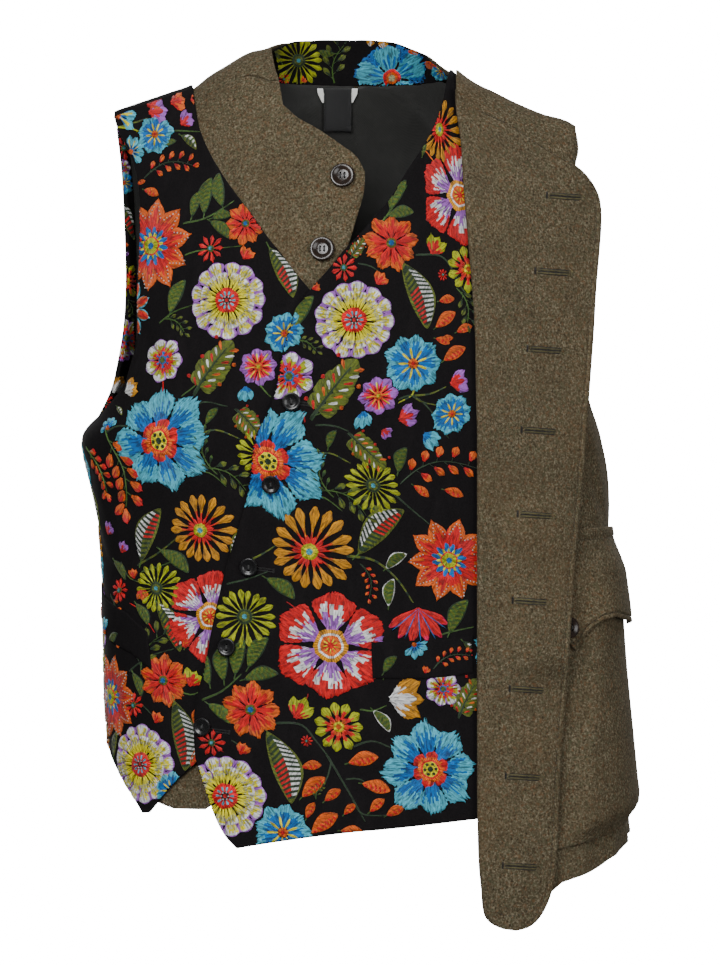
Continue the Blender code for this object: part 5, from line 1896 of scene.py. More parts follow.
golden_daisy = flower(
    ring(
        18, 0.2, 0.82, 0.27, (0, "red"), (0.34, "gold"),
        zig=0.1, peak=0.86, blunt=0.42, foot=0.22, lean=0.16,
    ),
    ring(13, 0.1, 0.34, 0.11, (0, "red"), turn=8, high=0.95),
    eye((0.2, "lime", 1.1), (0.14, "yellow", 1.2), (0.08, "sky", 1.35)),
)
lime_daisy = flower(
    ring(
        18, 0.2, 0.8, 0.25, (0, "olive"), (0.16, "lime"),
        zig=0.05, peak=0.86, blunt=0.42, foot=0.22, lean=0.1,
    ),
    eye((0.24, "forest", 0.9), (0.17, "olive", 1.0), (0.08, "sky", 1.2)),
)
lilac_daisy = flower(
    ring(
        8, 0.16, 0.88, 0.66, (0, "red"), (0.4, "pink"), (0.55, "lilac"),
        rib=(0.0, 0.55, 0.2, "yellow"), zig=0.1, peak=0.74, blunt=0.4, fray=0.05,
    ),
    eye((0.2, "orange", 1.1), (0.1, "yellow", 1.2)),
)
lime_red_round = flower(
    ring(11, 0.3, 0.7, 0.42, (0, "red"), (0.45, "lime"), rim="lime", zig=0.12, peak=0.74, blunt=0.45),
    ring(8, 0.12, 0.36, 0.24, (0, "orange"), (0.5, "red"), high=0.95),
    eye((0.2, "yellow", 1.1), (0.11, "orange", 1.2)),
)
patch_flower = flower(
    ring(
        7, 0.18, 0.86, 0.74, (0, "red"), (0.35, "lime"), (0.6, "white"),
        rim="lilac", zig=0.12, peak=0.72, blunt=0.4,
    ),
    ring(6, 0.2, 0.4, 0.22, (0, "blue"), (0.4, "red"), turn=30, high=0.95),
    eye((0.2, "blue", 1.1), (0.14, "olive", 1.2)),
)
half_flower = flower(
    ring(
        5, 0.12, 0.88, 0.5, (0, "blue"), (0.4, "sky"),
        sweep=150, rib=(0.0, 0.6, 0.22, "yellow"), zig=0.12, peak=0.72, blunt=0.5, fray=0.09,
    ),
    eye((0.16, "orange", 1.1)),
)
flame_half = ring(
    4, 0.1, 0.9, 0.42, (0, "white"), (0.2, "orange"),
    sweep=125, rim="sky", rib=(0.3, 0.8, 0.3, "red"), zig=0.1, peak=0.6, blunt=0.6,
)
bud = ring(3, 0, 1, 0.6, (0, "blue"), (0.35, "sky"), turn=-24, sweep=48, blunt=0.5, fray=0.06)
fan = flower(
    ring(6, 0, 1, 0.3, (0, "red"), (0.9, "pink"), turn=-62, sweep=124, peak=0.7, blunt=0.4),
    ring(5, 0, 0.96, 0.05, (0, "blue"), turn=-50, sweep=100, high=1.1),
)


def tulip_of(outer, middle):
    """Three petals in a cup, with one more in front."""

    def heart(bag, c, r, spin):
        petal(bag, c, math.radians(spin), 0, r * 0.8, r * 0.4, banded(((0, middle),)), high=0.95)

    stops = ((0, middle), (0.45, outer))
    cup = ring(3, 0, 1, 0.55, *stops, turn=-32, sweep=64, zig=0.14, peak=0.6, blunt=0.6, fray=0.08)
    return flower(cup, heart)


tulip = tulip_of("lilac", "red")
red_tulip = tulip_of("orange", "red")
gold_tulip = tulip_of("gold", "white")
lime_tulip = tulip_of("lime", "red")


def leaf(
    bag, c, r, spin,
    left=("olive", "forest"), right=("olive", "forest"), rim="olive", width=0.42, bend=0.2,
):
    """A leaf round its middle, with stripes that slant from its midrib on each side."""
    along, across = max(8, 2 * round(r / 2.0)), 8
    t = np.linspace(0, 1, along + 1)[:, None]
    v = np.linspace(-1, 1, across + 1)[None, :]
    half = r * width * np.sin(math.pi * t**0.9) ** 0.75
    out = r * (2 * t - 1) + 0.75 * np.abs(v) * half * (1 - t)
    off = v * half + bend * r * (1 - (2 * t - 1) ** 2)
    place = turned_about(c, math.radians(spin))
    heights = 0.2 + 0.55 * np.sqrt(np.clip(1 - v**2, 0, 1)) - 0.35 * (np.abs(v) < 0.1) + 0 * t
    heights[:, 0], heights[:, -1], heights[0], heights[-1] = SUNK, SUNK, SUNK, SUNK
    mid_t, mid_v = face_middles(t, v)
    row, _ = np.indices(mid_t.shape)
    stripe = (row % 2 == 0) & (mid_t > 0.1) & (mid_t < 0.9) & (np.abs(mid_v) < 0.8)
    colours = np.zeros(mid_t.shape + (3,)) + floss(rim)
    inner = (np.abs(mid_v) < 0.8) & (mid_t > 0.06) & (mid_t < 0.93)
    for near, names in ((mid_v < 0, left), (mid_v > 0, right)):
        colours[inner & near] = floss(names[1])
        colours[stripe & near] = floss(names[0])
        if names[0] == "red":
            colours[stripe & near & (mid_t < 0.4)] = floss("olive")
    grain = flat_pairs(out + 0.8 * np.abs(off), off)
    bag.add(np.stack(place(out, off), -1), heights, colours, grain)
    ribbon(bag, [place(-r * share, 0) for share in (1.25, 0.8)], 1.6, "green")


striped_leaf = partial(leaf, left=("red", "forest"), right=("white", "forest"))
white_leaf = partial(leaf, right=("white", "green"))
white_rim_leaf = partial(leaf, left=("olive", "green"), right=("olive", "green"), rim="white", width=0.46)
green_leaf = partial(leaf, left=("olive", "green"), right=("green", "olive"), rim="forest", width=0.46)
orange_leaf = partial(
    leaf, left=("orange", "red"), right=("orange", "orange"), rim="orange", width=0.5, bend=0.1
)


def speckled_leaf(bag, c, r, spin):
    """A lobed leaf with bits of red, white and orange along its midrib."""
    a = math.radians(spin)
    place = turned_about(c, a)
    green = banded(((0, "olive"),))
    for k, share in enumerate((0.52, 0.62, 0.6, 0.5, 0.4)):
        lobe, start = r * share, place(r * (-0.62 + 0.3 * k), 0)
        for side in (-1, 1):
            turn = a + side * math.radians(62 - 7 * k)
            petal(bag, start, turn, 0, lobe, lobe * 0.9, green, peak=0.6, blunt=0.4)
    petal(bag, place(r * 0.5, 0), a, 0, r * 0.55, r * 0.5, green, blunt=0.45)
    ribbon(bag, [place(-r, 0), place(0, 0.05 * r), place(r * 0.9, 0)], r * 0.16, "forest", 0.9)
    for k in range(14):
        side = (-1) ** k
        start = place(r * (-0.7 + 0.11 * k), side * 0.12 * r)
        speck = banded(((0, ("red", "white", "orange", "white")[(k // 2) % 4]),))
        petal(bag, start, a + side * math.radians(48), 0, r * 0.3, r * 0.13, speck, blunt=0.4, high=1.15)
        if k % 3 == 0:
            tip = place(r * (-0.6 + 0.12 * k), side * 0.48 * r)
            disc(bag, tip, (r * 0.06, "red" if side > 0 else "orange", 1.1))


BRANCH_CURL = 0.35


def branch(bag, c, r, spin, count, tint, length, width, stem="green", lean=52):
    """A curved stem with small leaves or berries on both sides."""
    a = math.radians(spin)
    place = turned_about(c, a)
    length, width = r * length, r * width

    def along(share):
        return place(r * (2 * share - 1), BRANCH_CURL * r * math.sin(math.pi * share))

    ribbon(bag, [along(k / 4) for k in range(5)], 1.5, stem)
    for k in range(count):
        share = 0.16 + 0.8 * k / count
        here = along(share)
        turn = a + math.radians((-1) ** k * lean) - BRANCH_CURL * 1.2 * (share - 0.5)
        tip = (here[0] + math.cos(turn) * length * 0.45, here[1] + math.sin(turn) * length * 0.45)
        ribbon(bag, [here, tip], 1.1, stem)
        petal(bag, tip, turn, 0, length, width, tint, peak=0.55, blunt=0.7)
    petal(bag, along(1), a, 0, length, width, tint, peak=0.55, blunt=0.7)


def branch_of(count, length, width, *stops, zig, **form):
    return partial(branch, count=count, tint=banded(stops, zig=zig), length=length, width=width, **form)


berries = branch_of(9, 0.3, 0.21, (0, "red"), (0.35, "orange"), zig=0.15, stem="forest")
orange_cluster = branch_of(10, 0.4, 0.28, (0, "orange"), (0.55, "red"), zig=0.16, lean=46)
green_branch = branch_of(7, 0.52, 0.28, (0, "forest"), (0.35, "olive"), zig=0.14, lean=44)
dark_sprig = branch_of(8, 0.42, 0.17, (0, "forest"), (0.5, "green"), zig=0.1, lean=40)


# ---------------------------------------------------------------- embroidery: charts
# Each motif's place in chart units, its radius in them and its turn in degrees

RIGHT_MOTIFS = (
    (half_flower, 118, 113, 19, -40), (tulip, 149, 112, 20, 5), (red_tulip, 147, 104, 16, 20),
    (red_tulip, 171, 102, 16, 12), (red_tulip, 191, 100, 10, 20), (tulip, 181, 124, 16, 42),
    (blue_daisy, 155, 134, 18, 10), (green_leaf, 170, 143, 7, 20), (white_leaf, 189, 142, 12, -35),
    (half_flower, 131, 151, 15, -45), (berries, 168, 172, 27, 12), (orange_leaf, 151, 192, 9, -20),
    (orange_leaf, 141, 182, 5, 20), (green_leaf, 197, 204, 14, 68), (green_leaf, 208, 196, 18, 80),
    (green_leaf, 221, 190, 17, 100), (green_leaf, 220, 230, 14, -38), (green_leaf, 222, 217, 11, 8),
    (orange_star, 152, 246, 43, 12), (small_red, 211, 249, 14, 5), (orange_daisy, 246, 224, 20, 20),
    (red_tulip, 244, 259, 13, 60), (green_leaf, 178, 297, 18, 64), (striped_leaf, 281, 273, 27, -62),
    (flame_half, 131, 309, 28, -60), (green_branch, 174, 326, 14, -30), (blue_daisy, 285, 334, 20, 0),
    (rosette, 228, 301, 37, 0), (patch_flower, 163, 360, 21, 0), (speckled_leaf, 213, 369, 31, 55),
    (lilac_daisy, 259, 367, 18, 10), (gold_tulip, 126, 392, 18, 30), (bud, 246, 387, 15, -85),
    (white_leaf, 119, 411, 7, -40), (big_blue, 160, 441, 46, 8), (green_leaf, 213, 416, 10, 60),
    (speckled_leaf, 248, 422, 20, -42), (half_flower, 108, 428, 11, 40), (lime_daisy, 261, 455, 25, 0),
    (dark_sprig, 211, 455, 20, 100), (green_branch, 226, 480, 22, -32),
    (orange_cluster, 113, 470, 38, -78), (orange_cluster, 95, 470, 26, -60),
    (striped_leaf, 151, 535, 29, 63), (golden_daisy, 201, 530, 32, 0), (striped_leaf, 246, 548, 26, 65),
    (tulip, 108, 534, 14, 60), (tulip, 122, 552, 12, 65), (green_leaf, 175, 561, 18, -40),
    (green_leaf, 119, 570, 13, -50), (lime_daisy, 157, 588, 25, 0), (small_red, 119, 590, 12, 0),
    (red_tulip, 141, 588, 13, -80), (red_tulip, 134, 578, 10, 100), (berries, 113, 617, 24, -75),
    (green_leaf, 142, 614, 13, -55), (striped_leaf, 168, 626, 27, -64), (six_petal, 211, 616, 43, 20),
    (green_branch, 152, 655, 24, 55), (orange_daisy, 164, 680, 25, 0), (lime_tulip, 190, 685, 18, 62),
    (orange_leaf, 187, 640, 8, 70), (green_leaf, 137, 684, 13, -68), (orange_star, 111, 697, 40, 0),
    (small_red, 134, 705, 13, 0), (red_tulip, 156, 722, 12, 62), (striped_leaf, 180, 735, 34, -84),
    (orange_leaf, 197, 716, 9, 80), (orange_leaf, 195, 757, 10, 65), (rosette, 141, 764, 38, 0),
    (leaf, 115, 745, 14, 65), (blue_daisy, 172, 790, 18, 0), (blue_daisy, 96, 566, 17, 0),
    (rosette, 88, 618, 30, 0), (golden_daisy, 104, 742, 18, 0),
)
LEFT_MOTIFS = (
    (golden_daisy, 440, 129, 31, 0), (green_leaf, 425, 150, 7, 60), (six_petal, 460, 195, 46, 30),
    (green_leaf, 398, 196, 17, 60), (green_leaf, 401, 215, 14, 10), (orange_daisy, 391, 244, 26, 8),
    (red_tulip, 377, 285, 13, 55), (small_red, 344, 269, 14, 0), (speckled_leaf, 357, 250, 12, 55),
    (lime_tulip, 432, 254, 21, 58), (lime_red_round, 469, 269, 23, 0), (striped_leaf, 415, 296, 34, -68),
    (small_red, 443, 275, 6, 0), (orange_leaf, 447, 300, 9, 8), (orange_leaf, 446, 320, 13, 35),
    (orange_leaf, 465, 329, 9, 20), (orange_leaf, 443, 341, 8, -20), (green_branch, 462, 305, 18, -75),
    (red_tulip, 313, 290, 9, 30), (rosette, 354, 321, 37, 0), (green_leaf, 304, 314, 19, 60),
    (blue_daisy, 283, 330, 21, 0), (green_branch, 306, 347, 12, -25), (patch_flower, 290, 377, 24, 30),
    (speckled_leaf, 334, 391, 34, 55), (lilac_daisy, 378, 396, 18, 10), (bud, 363, 412, 16, -82),
    (blue_daisy, 413, 364, 26, 0), (orange_leaf, 455, 354, 13, 30), (orange_leaf, 447, 339, 7, 10),
    (tulip, 451, 384, 19, 15), (tulip, 399, 420, 19, 25), (blue_daisy, 452, 414, 19, 20),
    (tulip, 382, 430, 11, -35), (bud, 424, 434, 17, -40), (big_blue, 269, 461, 51, 8),
    (green_leaf, 332, 439, 10, 62), (speckled_leaf, 365, 450, 23, -48), (lime_daisy, 373, 485, 26, 0),
    (green_leaf, 402, 460, 14, 62), (dark_sprig, 328, 477, 20, 100), (green_branch, 344, 503, 24, -32),
    (berries, 440, 477, 40, 10), (orange_leaf, 421, 491, 9, -40), (orange_leaf, 454, 493, 10, -20),
    (golden_daisy, 310, 551, 39, 0), (striped_leaf, 381, 532, 32, 42), (white_rim_leaf, 396, 561, 13, 35),
    (white_rim_leaf, 391, 592, 14, 78), (berries, 364, 580, 18, -78), (orange_star, 449, 560, 39, 0),
    (green_leaf, 281, 588, 17, -38), (lime_daisy, 246, 616, 29, 0), (six_petal, 331, 645, 50, 25),
    (tulip, 371, 641, 13, -10), (fan, 418, 608, 34, -88), (green_leaf, 459, 616, 19, 60),
    (green_leaf, 209, 668, 16, 95), (green_leaf, 225, 662, 18, 88), (green_leaf, 241, 657, 18, 72),
    (green_leaf, 259, 652, 18, 55), (green_leaf, 262, 676, 17, 10), (green_leaf, 221, 713, 15, -42),
    (orange_daisy, 252, 709, 27, 0), (red_tulip, 242, 753, 13, 60), (small_red, 214, 742, 14, 0),
    (lime_tulip, 296, 717, 22, 60), (lime_red_round, 339, 726, 24, 0), (small_red, 307, 740, 6, 0),
    (gold_tulip, 390, 698, 33, 0), (white_rim_leaf, 381, 720, 13, -55), (green_leaf, 389, 667, 11, 60),
    (patch_flower, 443, 688, 17, 0), (speckled_leaf, 468, 698, 22, 60), (big_blue, 430, 768, 43, 5),
    (striped_leaf, 280, 766, 36, -74), (orange_leaf, 312, 765, 10, 5), (orange_leaf, 314, 786, 15, 40),
    (orange_leaf, 333, 794, 10, 35), (orange_leaf, 311, 809, 9, 60), (orange_leaf, 325, 822, 16, 35),
    (orange_leaf, 350, 808, 8, 40), (orange_leaf, 363, 759, 15, 12), (orange_leaf, 376, 786, 14, -15),
    (orange_leaf, 377, 804, 10, 40), (orange_leaf, 395, 810, 10, 25), (orange_leaf, 352, 830, 11, -5),
    (green_branch, 320, 792, 8, 60), (rosette, 227, 795, 38, 0), (blue_daisy, 284, 831, 26, 0),
    (blue_daisy, 505, 650, 30, 0), (golden_daisy, 520, 740, 30, 0), (orange_daisy, 520, 380, 28, 0),
    (lime_daisy, 520, 480, 28, 0), (rosette, 530, 560, 30, 0), (lilac_daisy, 505, 320, 20, 0),
)
# Floss, width, and the places that the stem goes through
RIGHT_STEMS = (
    ("olive", 2.2, (112, 128), (126, 124), (149, 117)), ("lime", 2.0, (113, 126), (132, 128), (142, 132)),
    ("green", 1.6, (172, 130), (200, 131), (215, 128)), ("green", 2.2, (182, 224), (206, 218), (236, 200)),
    ("green", 1.6, (184, 256), (200, 251), (244, 246)), ("green", 1.8, (158, 324), (174, 312), (196, 304)),
    ("green", 1.8, (180, 397), (196, 385), (208, 372)),
    ("forest", 2.2, (170, 428), (200, 403), (230, 407)),
    ("olive", 2.0, (196, 436), (216, 430), (243, 440)), ("green", 1.6, (196, 470), (212, 474), (228, 488)),
    ("forest", 2.4, (104, 434), (118, 426), (140, 428)),
    ("olive", 2.4, (136, 566), (160, 552), (182, 534)), ("green", 2.0, (140, 572), (160, 566), (176, 560)),
    ("green", 2.2, (228, 528), (238, 530), (248, 524)), ("olive", 2.0, (120, 560), (130, 578), (152, 584)),
    ("forest", 2.2, (128, 672), (150, 656), (176, 648)),
    ("green", 2.0, (178, 690), (192, 694), (206, 688)),
    ("forest", 1.8, (118, 708), (140, 704), (154, 716)), ("red", 1.0, (162, 378), (163, 390), (162, 404)),
    ("red", 1.0, (128, 602), (140, 610), (156, 634)), ("green", 1.8, (256, 380), (266, 392), (272, 398)),
)
LEFT_STEMS = (
    ("forest", 2.4, (414, 255), (444, 258), (464, 290), (478, 306)),
    ("forest", 1.8, (356, 264), (372, 268), (382, 276)),
    ("green", 2.2, (378, 228), (390, 212), (408, 184)),
    ("orange", 1.4, (424, 148), (432, 158), (440, 168)), ("lime", 2.2, (414, 386), (412, 395), (396, 404)),
    ("olive", 2.4, (410, 396), (430, 394), (448, 386)), ("olive", 2.0, (412, 396), (422, 402), (440, 406)),
    ("forest", 2.0, (396, 400), (412, 396), (430, 410), (450, 440)),
    ("forest", 2.2, (314, 425), (334, 426), (350, 432)),
    ("olive", 2.2, (310, 455), (330, 453), (352, 464)), ("green", 1.8, (312, 494), (326, 498), (344, 512)),
    ("forest", 2.4, (390, 490), (410, 508), (434, 528)),
    ("olive", 3.0, (345, 555), (374, 560), (398, 580), (414, 604)),
    ("olive", 2.6, (250, 560), (262, 554), (278, 544)),
    ("forest", 2.2, (226, 584), (250, 578), (272, 570)), ("red", 1.2, (286, 600), (294, 606), (302, 612)),
    ("green", 2.0, (440, 634), (456, 630), (476, 626)), ("green", 2.6, (202, 700), (224, 690), (244, 672)),
    ("forest", 2.6, (274, 722), (302, 724), (318, 742), (332, 760)),
    ("forest", 2.4, (352, 746), (372, 740), (394, 748)),
    ("forest", 2.6, (326, 752), (338, 772), (352, 796), (366, 822)),
    ("forest", 2.0, (344, 778), (360, 778), (372, 786)),
    ("forest", 2.0, (352, 796), (362, 812), (390, 814)),
    ("forest", 2.0, (332, 760), (326, 780), (318, 788)),
    ("green", 2.0, (358, 708), (372, 710), (388, 704)), ("red", 1.2, (309, 692), (308, 696), (306, 700)),
    ("green", 1.8, (330, 410), (320, 414), (310, 418)), ("red", 1.4, (305, 424), (305, 418), (304, 412)),
    ("forest", 1.8, (232, 738), (240, 744), (248, 748)),
)
# On the far side of the right front: arc length, height, radius and turn
RIGHT_FAR_MOTIFS = (
    (blue_daisy, -262, -320, 20, 0), (striped_leaf, -246, -352, 22, -60),
    (orange_daisy, -285, -352, 20, 0), (golden_daisy, -262, -392, 26, 0), (six_petal, -292, -430, 32, 15),
    (green_leaf, -262, -432, 16, 40), (lime_daisy, -270, -470, 22, 0), (rosette, -292, -512, 28, 0),
    (striped_leaf, -262, -505, 20, -70), (lilac_daisy, -318, -478, 15, 0), (big_blue, -318, -380, 26, 0),
)
# On the narrow pieces, seen straight from the front: millimetres across and up
NECK_MOTIFS = (
    (lime_daisy, -50, 10, 20, 0), (leaf, -68, 15, 8, 120), (small_red, -62, -5, 5, 0),
    (red_tulip, -48, -7, 5, 40), (green_branch, -16, 6, 17, 78), (green_leaf, -27, 17, 7, 170),
    (blue_pansy, 26, -4, 26, 100), (gold_tulip, 19, 20, 7, 90), (gold_tulip, 8, 22, 6, 80),
    (orange_leaf, 43, 16, 5, -20), (blue_daisy, 66, 1, 8, 0), (orange_leaf, 58, 6, 6, 150),
)
ARMHOLE_MOTIFS = (
    (blue_daisy, 113, 106, 12, 0), (tulip, 110, 124, 12, -70), (small_red, 123, 146, 13, 0),
    (patch_flower, 121, 166, 9, 0), (blue_daisy, 123, 181, 11, 0), (striped_leaf, 126, 220, 19, -70),
    (red_tulip, 122, 240, 8, -80), (lime_red_round, 125, 280, 17, 0), (tulip, 122, 256, 8, 80),
    (green_branch, 127, 306, 10, -70), (patch_flower, 125, 337, 19, 0), (lilac_daisy, 121, 352, 9, 0),
    (gold_tulip, 112, 392, 19, 60), (small_red, 104, 402, 10, 0), (lime_red_round, 96, 428, 14, 0),
    (green_leaf, 104, 416, 9, -40),
)
WELT_MOTIFS = (
    (half_flower, 414, 644, 14, -130), (green_leaf, 390, 664, 11, 50), (berries, 452, 662, 20, 20),
    (striped_leaf, 470, 648, 10, -50), (red_tulip, 425, 672, 7, 70),
)
RIGHT_WELT_MOTIFS = (
    (half_flower, -228, -455, 12, 60), (orange_leaf, -250, -440, 8, 30), (green_leaf, -212, -462, 9, 40),
    (small_red, -268, -432, 8, 0), (green_leaf, -288, -428, 9, -30),
)


MOTIF_GROW = 1.06


def sewn(bag, motifs, stems, place, scale):
    """Stems first, then leaves and flowers, each a little higher than what it crosses."""
    for name, width, *path in stems:
        bag.level = 0.0
        ribbon(bag, [place(x, y) for x, y in path], width, name)
    for k, (motif, x, y, radius, spin) in enumerate(motifs):
        bag.level = 0.12 + 0.02 * (k % 4)
        motif(bag, place(x, y), radius * scale * MOTIF_GROW, spin)


class Skin:
    """A cloth's surface, to lay stitches on."""

    def __init__(self, obj):
        mesh = obj.data
        self.tree = BVHTree.FromPolygons(
            [vertex.co for vertex in mesh.vertices], [tuple(face.vertices) for face in mesh.polygons]
        )

    def under(self, points, outs, reach=30.0):
        """Where lines from outside meet the cloth, in millimetres. A line that misses gives None."""
        found = []
        for point, out in zip(points, outs):
            start = Vector(point + out * reach) * MM
            hit = self.tree.ray_cast(start, Vector(-out), 2.2 * reach * MM)[0]
            found.append(None if hit is None else np.array(hit) / MM)
        return found


FAR = 400.0
TOWARDS_VIEWER = np.array((0.0, -1.0, 0.0))
RIM_HEIGHT = -0.9


def stitched(name, panel, bag, material, flat_view=False):
    """The bag's patches as one piece on a panel, cut off at the panel's border."""
    flat, heights = np.concatenate(bag.points), np.concatenate(bag.heights)
    faces, colours = np.concatenate(bag.faces), np.concatenate(bag.colours)
    grain = np.concatenate(bag.grain)
    if flat_view:
        points = np.stack((flat[:, 0], np.zeros(len(flat)), flat[:, 1]), -1)
        outs = np.broadcast_to(TOWARDS_VIEWER, points.shape)
        reach = FAR
    else:
        border = np.stack(arc_of(*CUTS[panel.name.removesuffix("_cloth")].border()), -1)
        within = np.zeros(len(flat), bool)
        near = np.zeros(flat.shape)
        for start in range(0, len(flat), 8000):
            part = slice(start, start + 8000)
            within[part], near[part] = inside(border, flat[part])
        flat = np.where(within[:, None], flat, near)
        heights = np.where(within, heights, RIM_HEIGHT)
        keep = within[faces].any(1)
        faces, colours = faces[keep], colours[keep]
        points, outs = figure_frame(FRONT, *spot_of(flat[:, 0], flat[:, 1]))
        reach = 30.0
    hits = Skin(panel).under(points, outs, reach)
    missed = np.array([hit is None for hit in hits])
    keep = ~missed[faces].any(1)
    faces, colours = faces[keep], colours[keep]
    places = np.array([points[k] if hit is None else hit for k, hit in enumerate(hits)])
    places = places + outs * heights[:, None]
    used, faces = np.unique(faces, return_inverse=True)
    faces = faces.reshape(-1, 4)
    obj = make(name, places[used], faces, material, grain[used], None, (), "embroidered_velvet")
    mesh = obj.data
    layer = mesh.color_attributes.new("thread", "FLOAT_COLOR", "CORNER")
    shown = np.concatenate((colours, np.ones((len(colours), 1))), 1)
    layer.data.foreach_set("color", np.repeat(shown, 4, 0).ravel())

def embroider(panels, material):
    """All the embroidery, from the panels' objects."""

    def drawn(lift):
        return lambda x, y: charted(x, y, lift)

    def straight(x, y):
        return x, y

    fronts = drawn(SECOND_LIFT + CLOTH_WALL)
    right = (RIGHT_MOTIFS, RIGHT_STEMS, fronts, CHART), (RIGHT_FAR_MOTIFS, (), straight, 1.0)
    for name, panel, seed, charts, flat_view in (
        ("right_front", "embroidered_right_front", 11, right, False),
        ("left_front", "embroidered_left_front", 23, ((LEFT_MOTIFS, LEFT_STEMS, fronts, CHART),), False),
        ("left_welt", "welt_left_front", 37, ((WELT_MOTIFS, (), drawn(THIRD_LIFT), CHART),), False),
        ("right_welt", "welt_right_front", 41, ((RIGHT_WELT_MOTIFS, (), straight, 1.0),), False),
        ("neck", "neck_facing", 53, ((NECK_MOTIFS, (), straight, 1.0),), True),
        ("armhole", "armhole_facing_right", 67, ((ARMHOLE_MOTIFS, (), viewed, CHART),), True),
    ):
        bag = Stitches(seed)
        for chart in charts:
            sewn(bag, *chart)
        stitched("embroidery_" + name, panels[panel], bag, material, flat_view)


# ---------------------------------------------------------------- materials


def linear(colour):
    """Linear light from an 8-bit sRGB triple."""
    shares = (c / 255 for c in colour)
    return tuple(c / 12.92 if c <= 0.04045 else ((c + 0.055) / 1.055) ** 2.4 for c in shares)


class Paint:
    """A material and short ways to add its nodes."""

    def __init__(self, name, roughness=0.8, **sockets):
        self.material = bpy.data.materials.new(name)
        self.material.use_nodes = True
        self.tree = self.material.node_tree
        self.shader = self.tree.nodes["Principled BSDF"]
        self.shader.inputs["Roughness"].default_value = roughness
        for socket, value in sockets.items():
            self.shader.inputs[socket.replace("_", " ")].default_value = value
        self.bumps = None

    def node(self, kind, links=(), **values):
        node = self.tree.nodes.new(kind)
        for key, value in values.items():
            if hasattr(node, key) and key not in node.inputs:
                setattr(node, key, value)
            else:
                node.inputs[key.replace("_", " ")].default_value = value
        for socket, source in dict(links).items():
            self.tree.links.new(source, node.inputs[socket])
        return node

    def place(self, scale=(1, 1, 1), turn=(0, 0, 0), output="Object"):
        coordinates = self.node("ShaderNodeTexCoord")
        mapping = self.node("ShaderNodeMapping", {"Vector": coordinates.outputs[output]})
        mapping.inputs["Scale"].default_value = scale
        mapping.inputs["Rotation"].default_value = turn
        return mapping.outputs["Vector"]

    def noise(self, scale, detail=3.0, rough=0.6, vector=None):
        vector = vector or self.place()
        return self.node(
            "ShaderNodeTexNoise", {"Vector": vector}, Scale=scale, Detail=detail, Roughness=rough
        ).outputs["Fac"]

    def wave(self, scale, vector, distortion=0.0, detail=1.0):
        return self.node(
            "ShaderNodeTexWave", {"Vector": vector}, Scale=scale, Distortion=distortion, Detail=detail
        ).outputs["Fac"]

    def ramp(self, source, *stops):
        node = self.node("ShaderNodeValToRGB", {"Fac": source})
        elements = node.color_ramp.elements
        while len(elements) < len(stops):
            elements.new(0.5)
        for element, (place, colour) in zip(elements, stops):
            element.position = place
            element.color = (*colour, 1)
        return node.outputs["Color"]

    def mix(self, share, first, second, blend="MIX"):
        node = self.tree.nodes.new("ShaderNodeMix")
        node.data_type = "RGBA"
        node.blend_type = blend
        for socket, value in zip((node.inputs[0], node.inputs[6], node.inputs[7]), (share, first, second)):
            if isinstance(value, bpy.types.NodeSocket):
                self.tree.links.new(value, socket)
            elif isinstance(value, tuple):
                socket.default_value = (*value, 1)
            else:
                socket.default_value = value
        return node.outputs[2]

    def over(self, base, source, first, last, colour):
        """The base under a colour, whose share goes with the source: (place, share) twice."""
        stops = ((place, 3 * (share,)) for place, share in (first, last))
        return self.mix(self.ramp(source, *stops), base, colour)

    def colour(self, source):
        if isinstance(source, tuple):
            self.shader.inputs["Base Color"].default_value = (*source, 1)
        else:
            self.tree.links.new(source, self.shader.inputs["Base Color"])
        return self

    def rough(self, source):
        self.tree.links.new(source, self.shader.inputs["Roughness"])
        return self

    def bump(self, height, strength, distance):
        node = self.node("ShaderNodeBump", {"Height": height}, Strength=strength, Distance=distance)
        if self.bumps:
            self.tree.links.new(self.bumps, node.inputs["Normal"])
        self.bumps = node.outputs["Normal"]
        self.tree.links.new(self.bumps, self.shader.inputs["Normal"])
        return self


def tweed_paint(name, tone):
    """Brown-olive wool: mixed light, green and rust fibres in a soft, close twill."""

    def shade(*colour):
        return tuple(c * tone for c in linear(colour))

    paint = Paint(name, 0.95, Sheen_Weight=0.05, Sheen_Roughness=0.6, Specular_IOR_Level=0.08)
    paint.shader.inputs["Sheen Tint"].default_value = (*linear((150, 138, 118)), 1)
    grain = paint.noise(600, 2.0, 0.65)
    base = paint.ramp(
        grain,
        (0.3, shade(47, 39, 27)),
        (0.45, shade(79, 70, 52)),
        (0.55, shade(96, 87, 68)),
        (0.7, shade(138, 129, 107)),
    )
    green = paint.noise(360, 2.0, 0.5, paint.place((1, 1, 0.8), (0.4, 0.2, 0.1)))
    base = paint.over(base, green, (0.5, 0), (0.66, 0.5), shade(78, 82, 60))
    rust = paint.noise(400, 2.0, 0.5)
    base = paint.over(base, rust, (0.54, 0), (0.7, 0.38), shade(124, 82, 52))
    fleck = paint.noise(700, 1.0, 0.5, paint.place((1, 1, 0.45), (0, 0.5, 0.3)))
    base = paint.over(base, fleck, (0.6, 0), (0.72, 0.36), shade(152, 142, 118))
    warm = paint.noise(14, 3.0, 0.6)
    base = paint.over(base, warm, (0.46, 0), (0.66, 0.18), shade(104, 80, 52))
    cloud = paint.noise(38, 3.0, 0.6)
    base = paint.over(base, cloud, (0.35, 0.25), (0.7, 0), shade(52, 45, 34))
    paint.colour(base)
    twill = paint.wave(330, paint.place((1, 1, 1), (0, 0, 0.9), "UV"), 2.2, 2.0)
    paint.bump(twill, 0.35, 0.0005)
    paint.bump(grain, 0.7, 0.0012)
    return paint.material


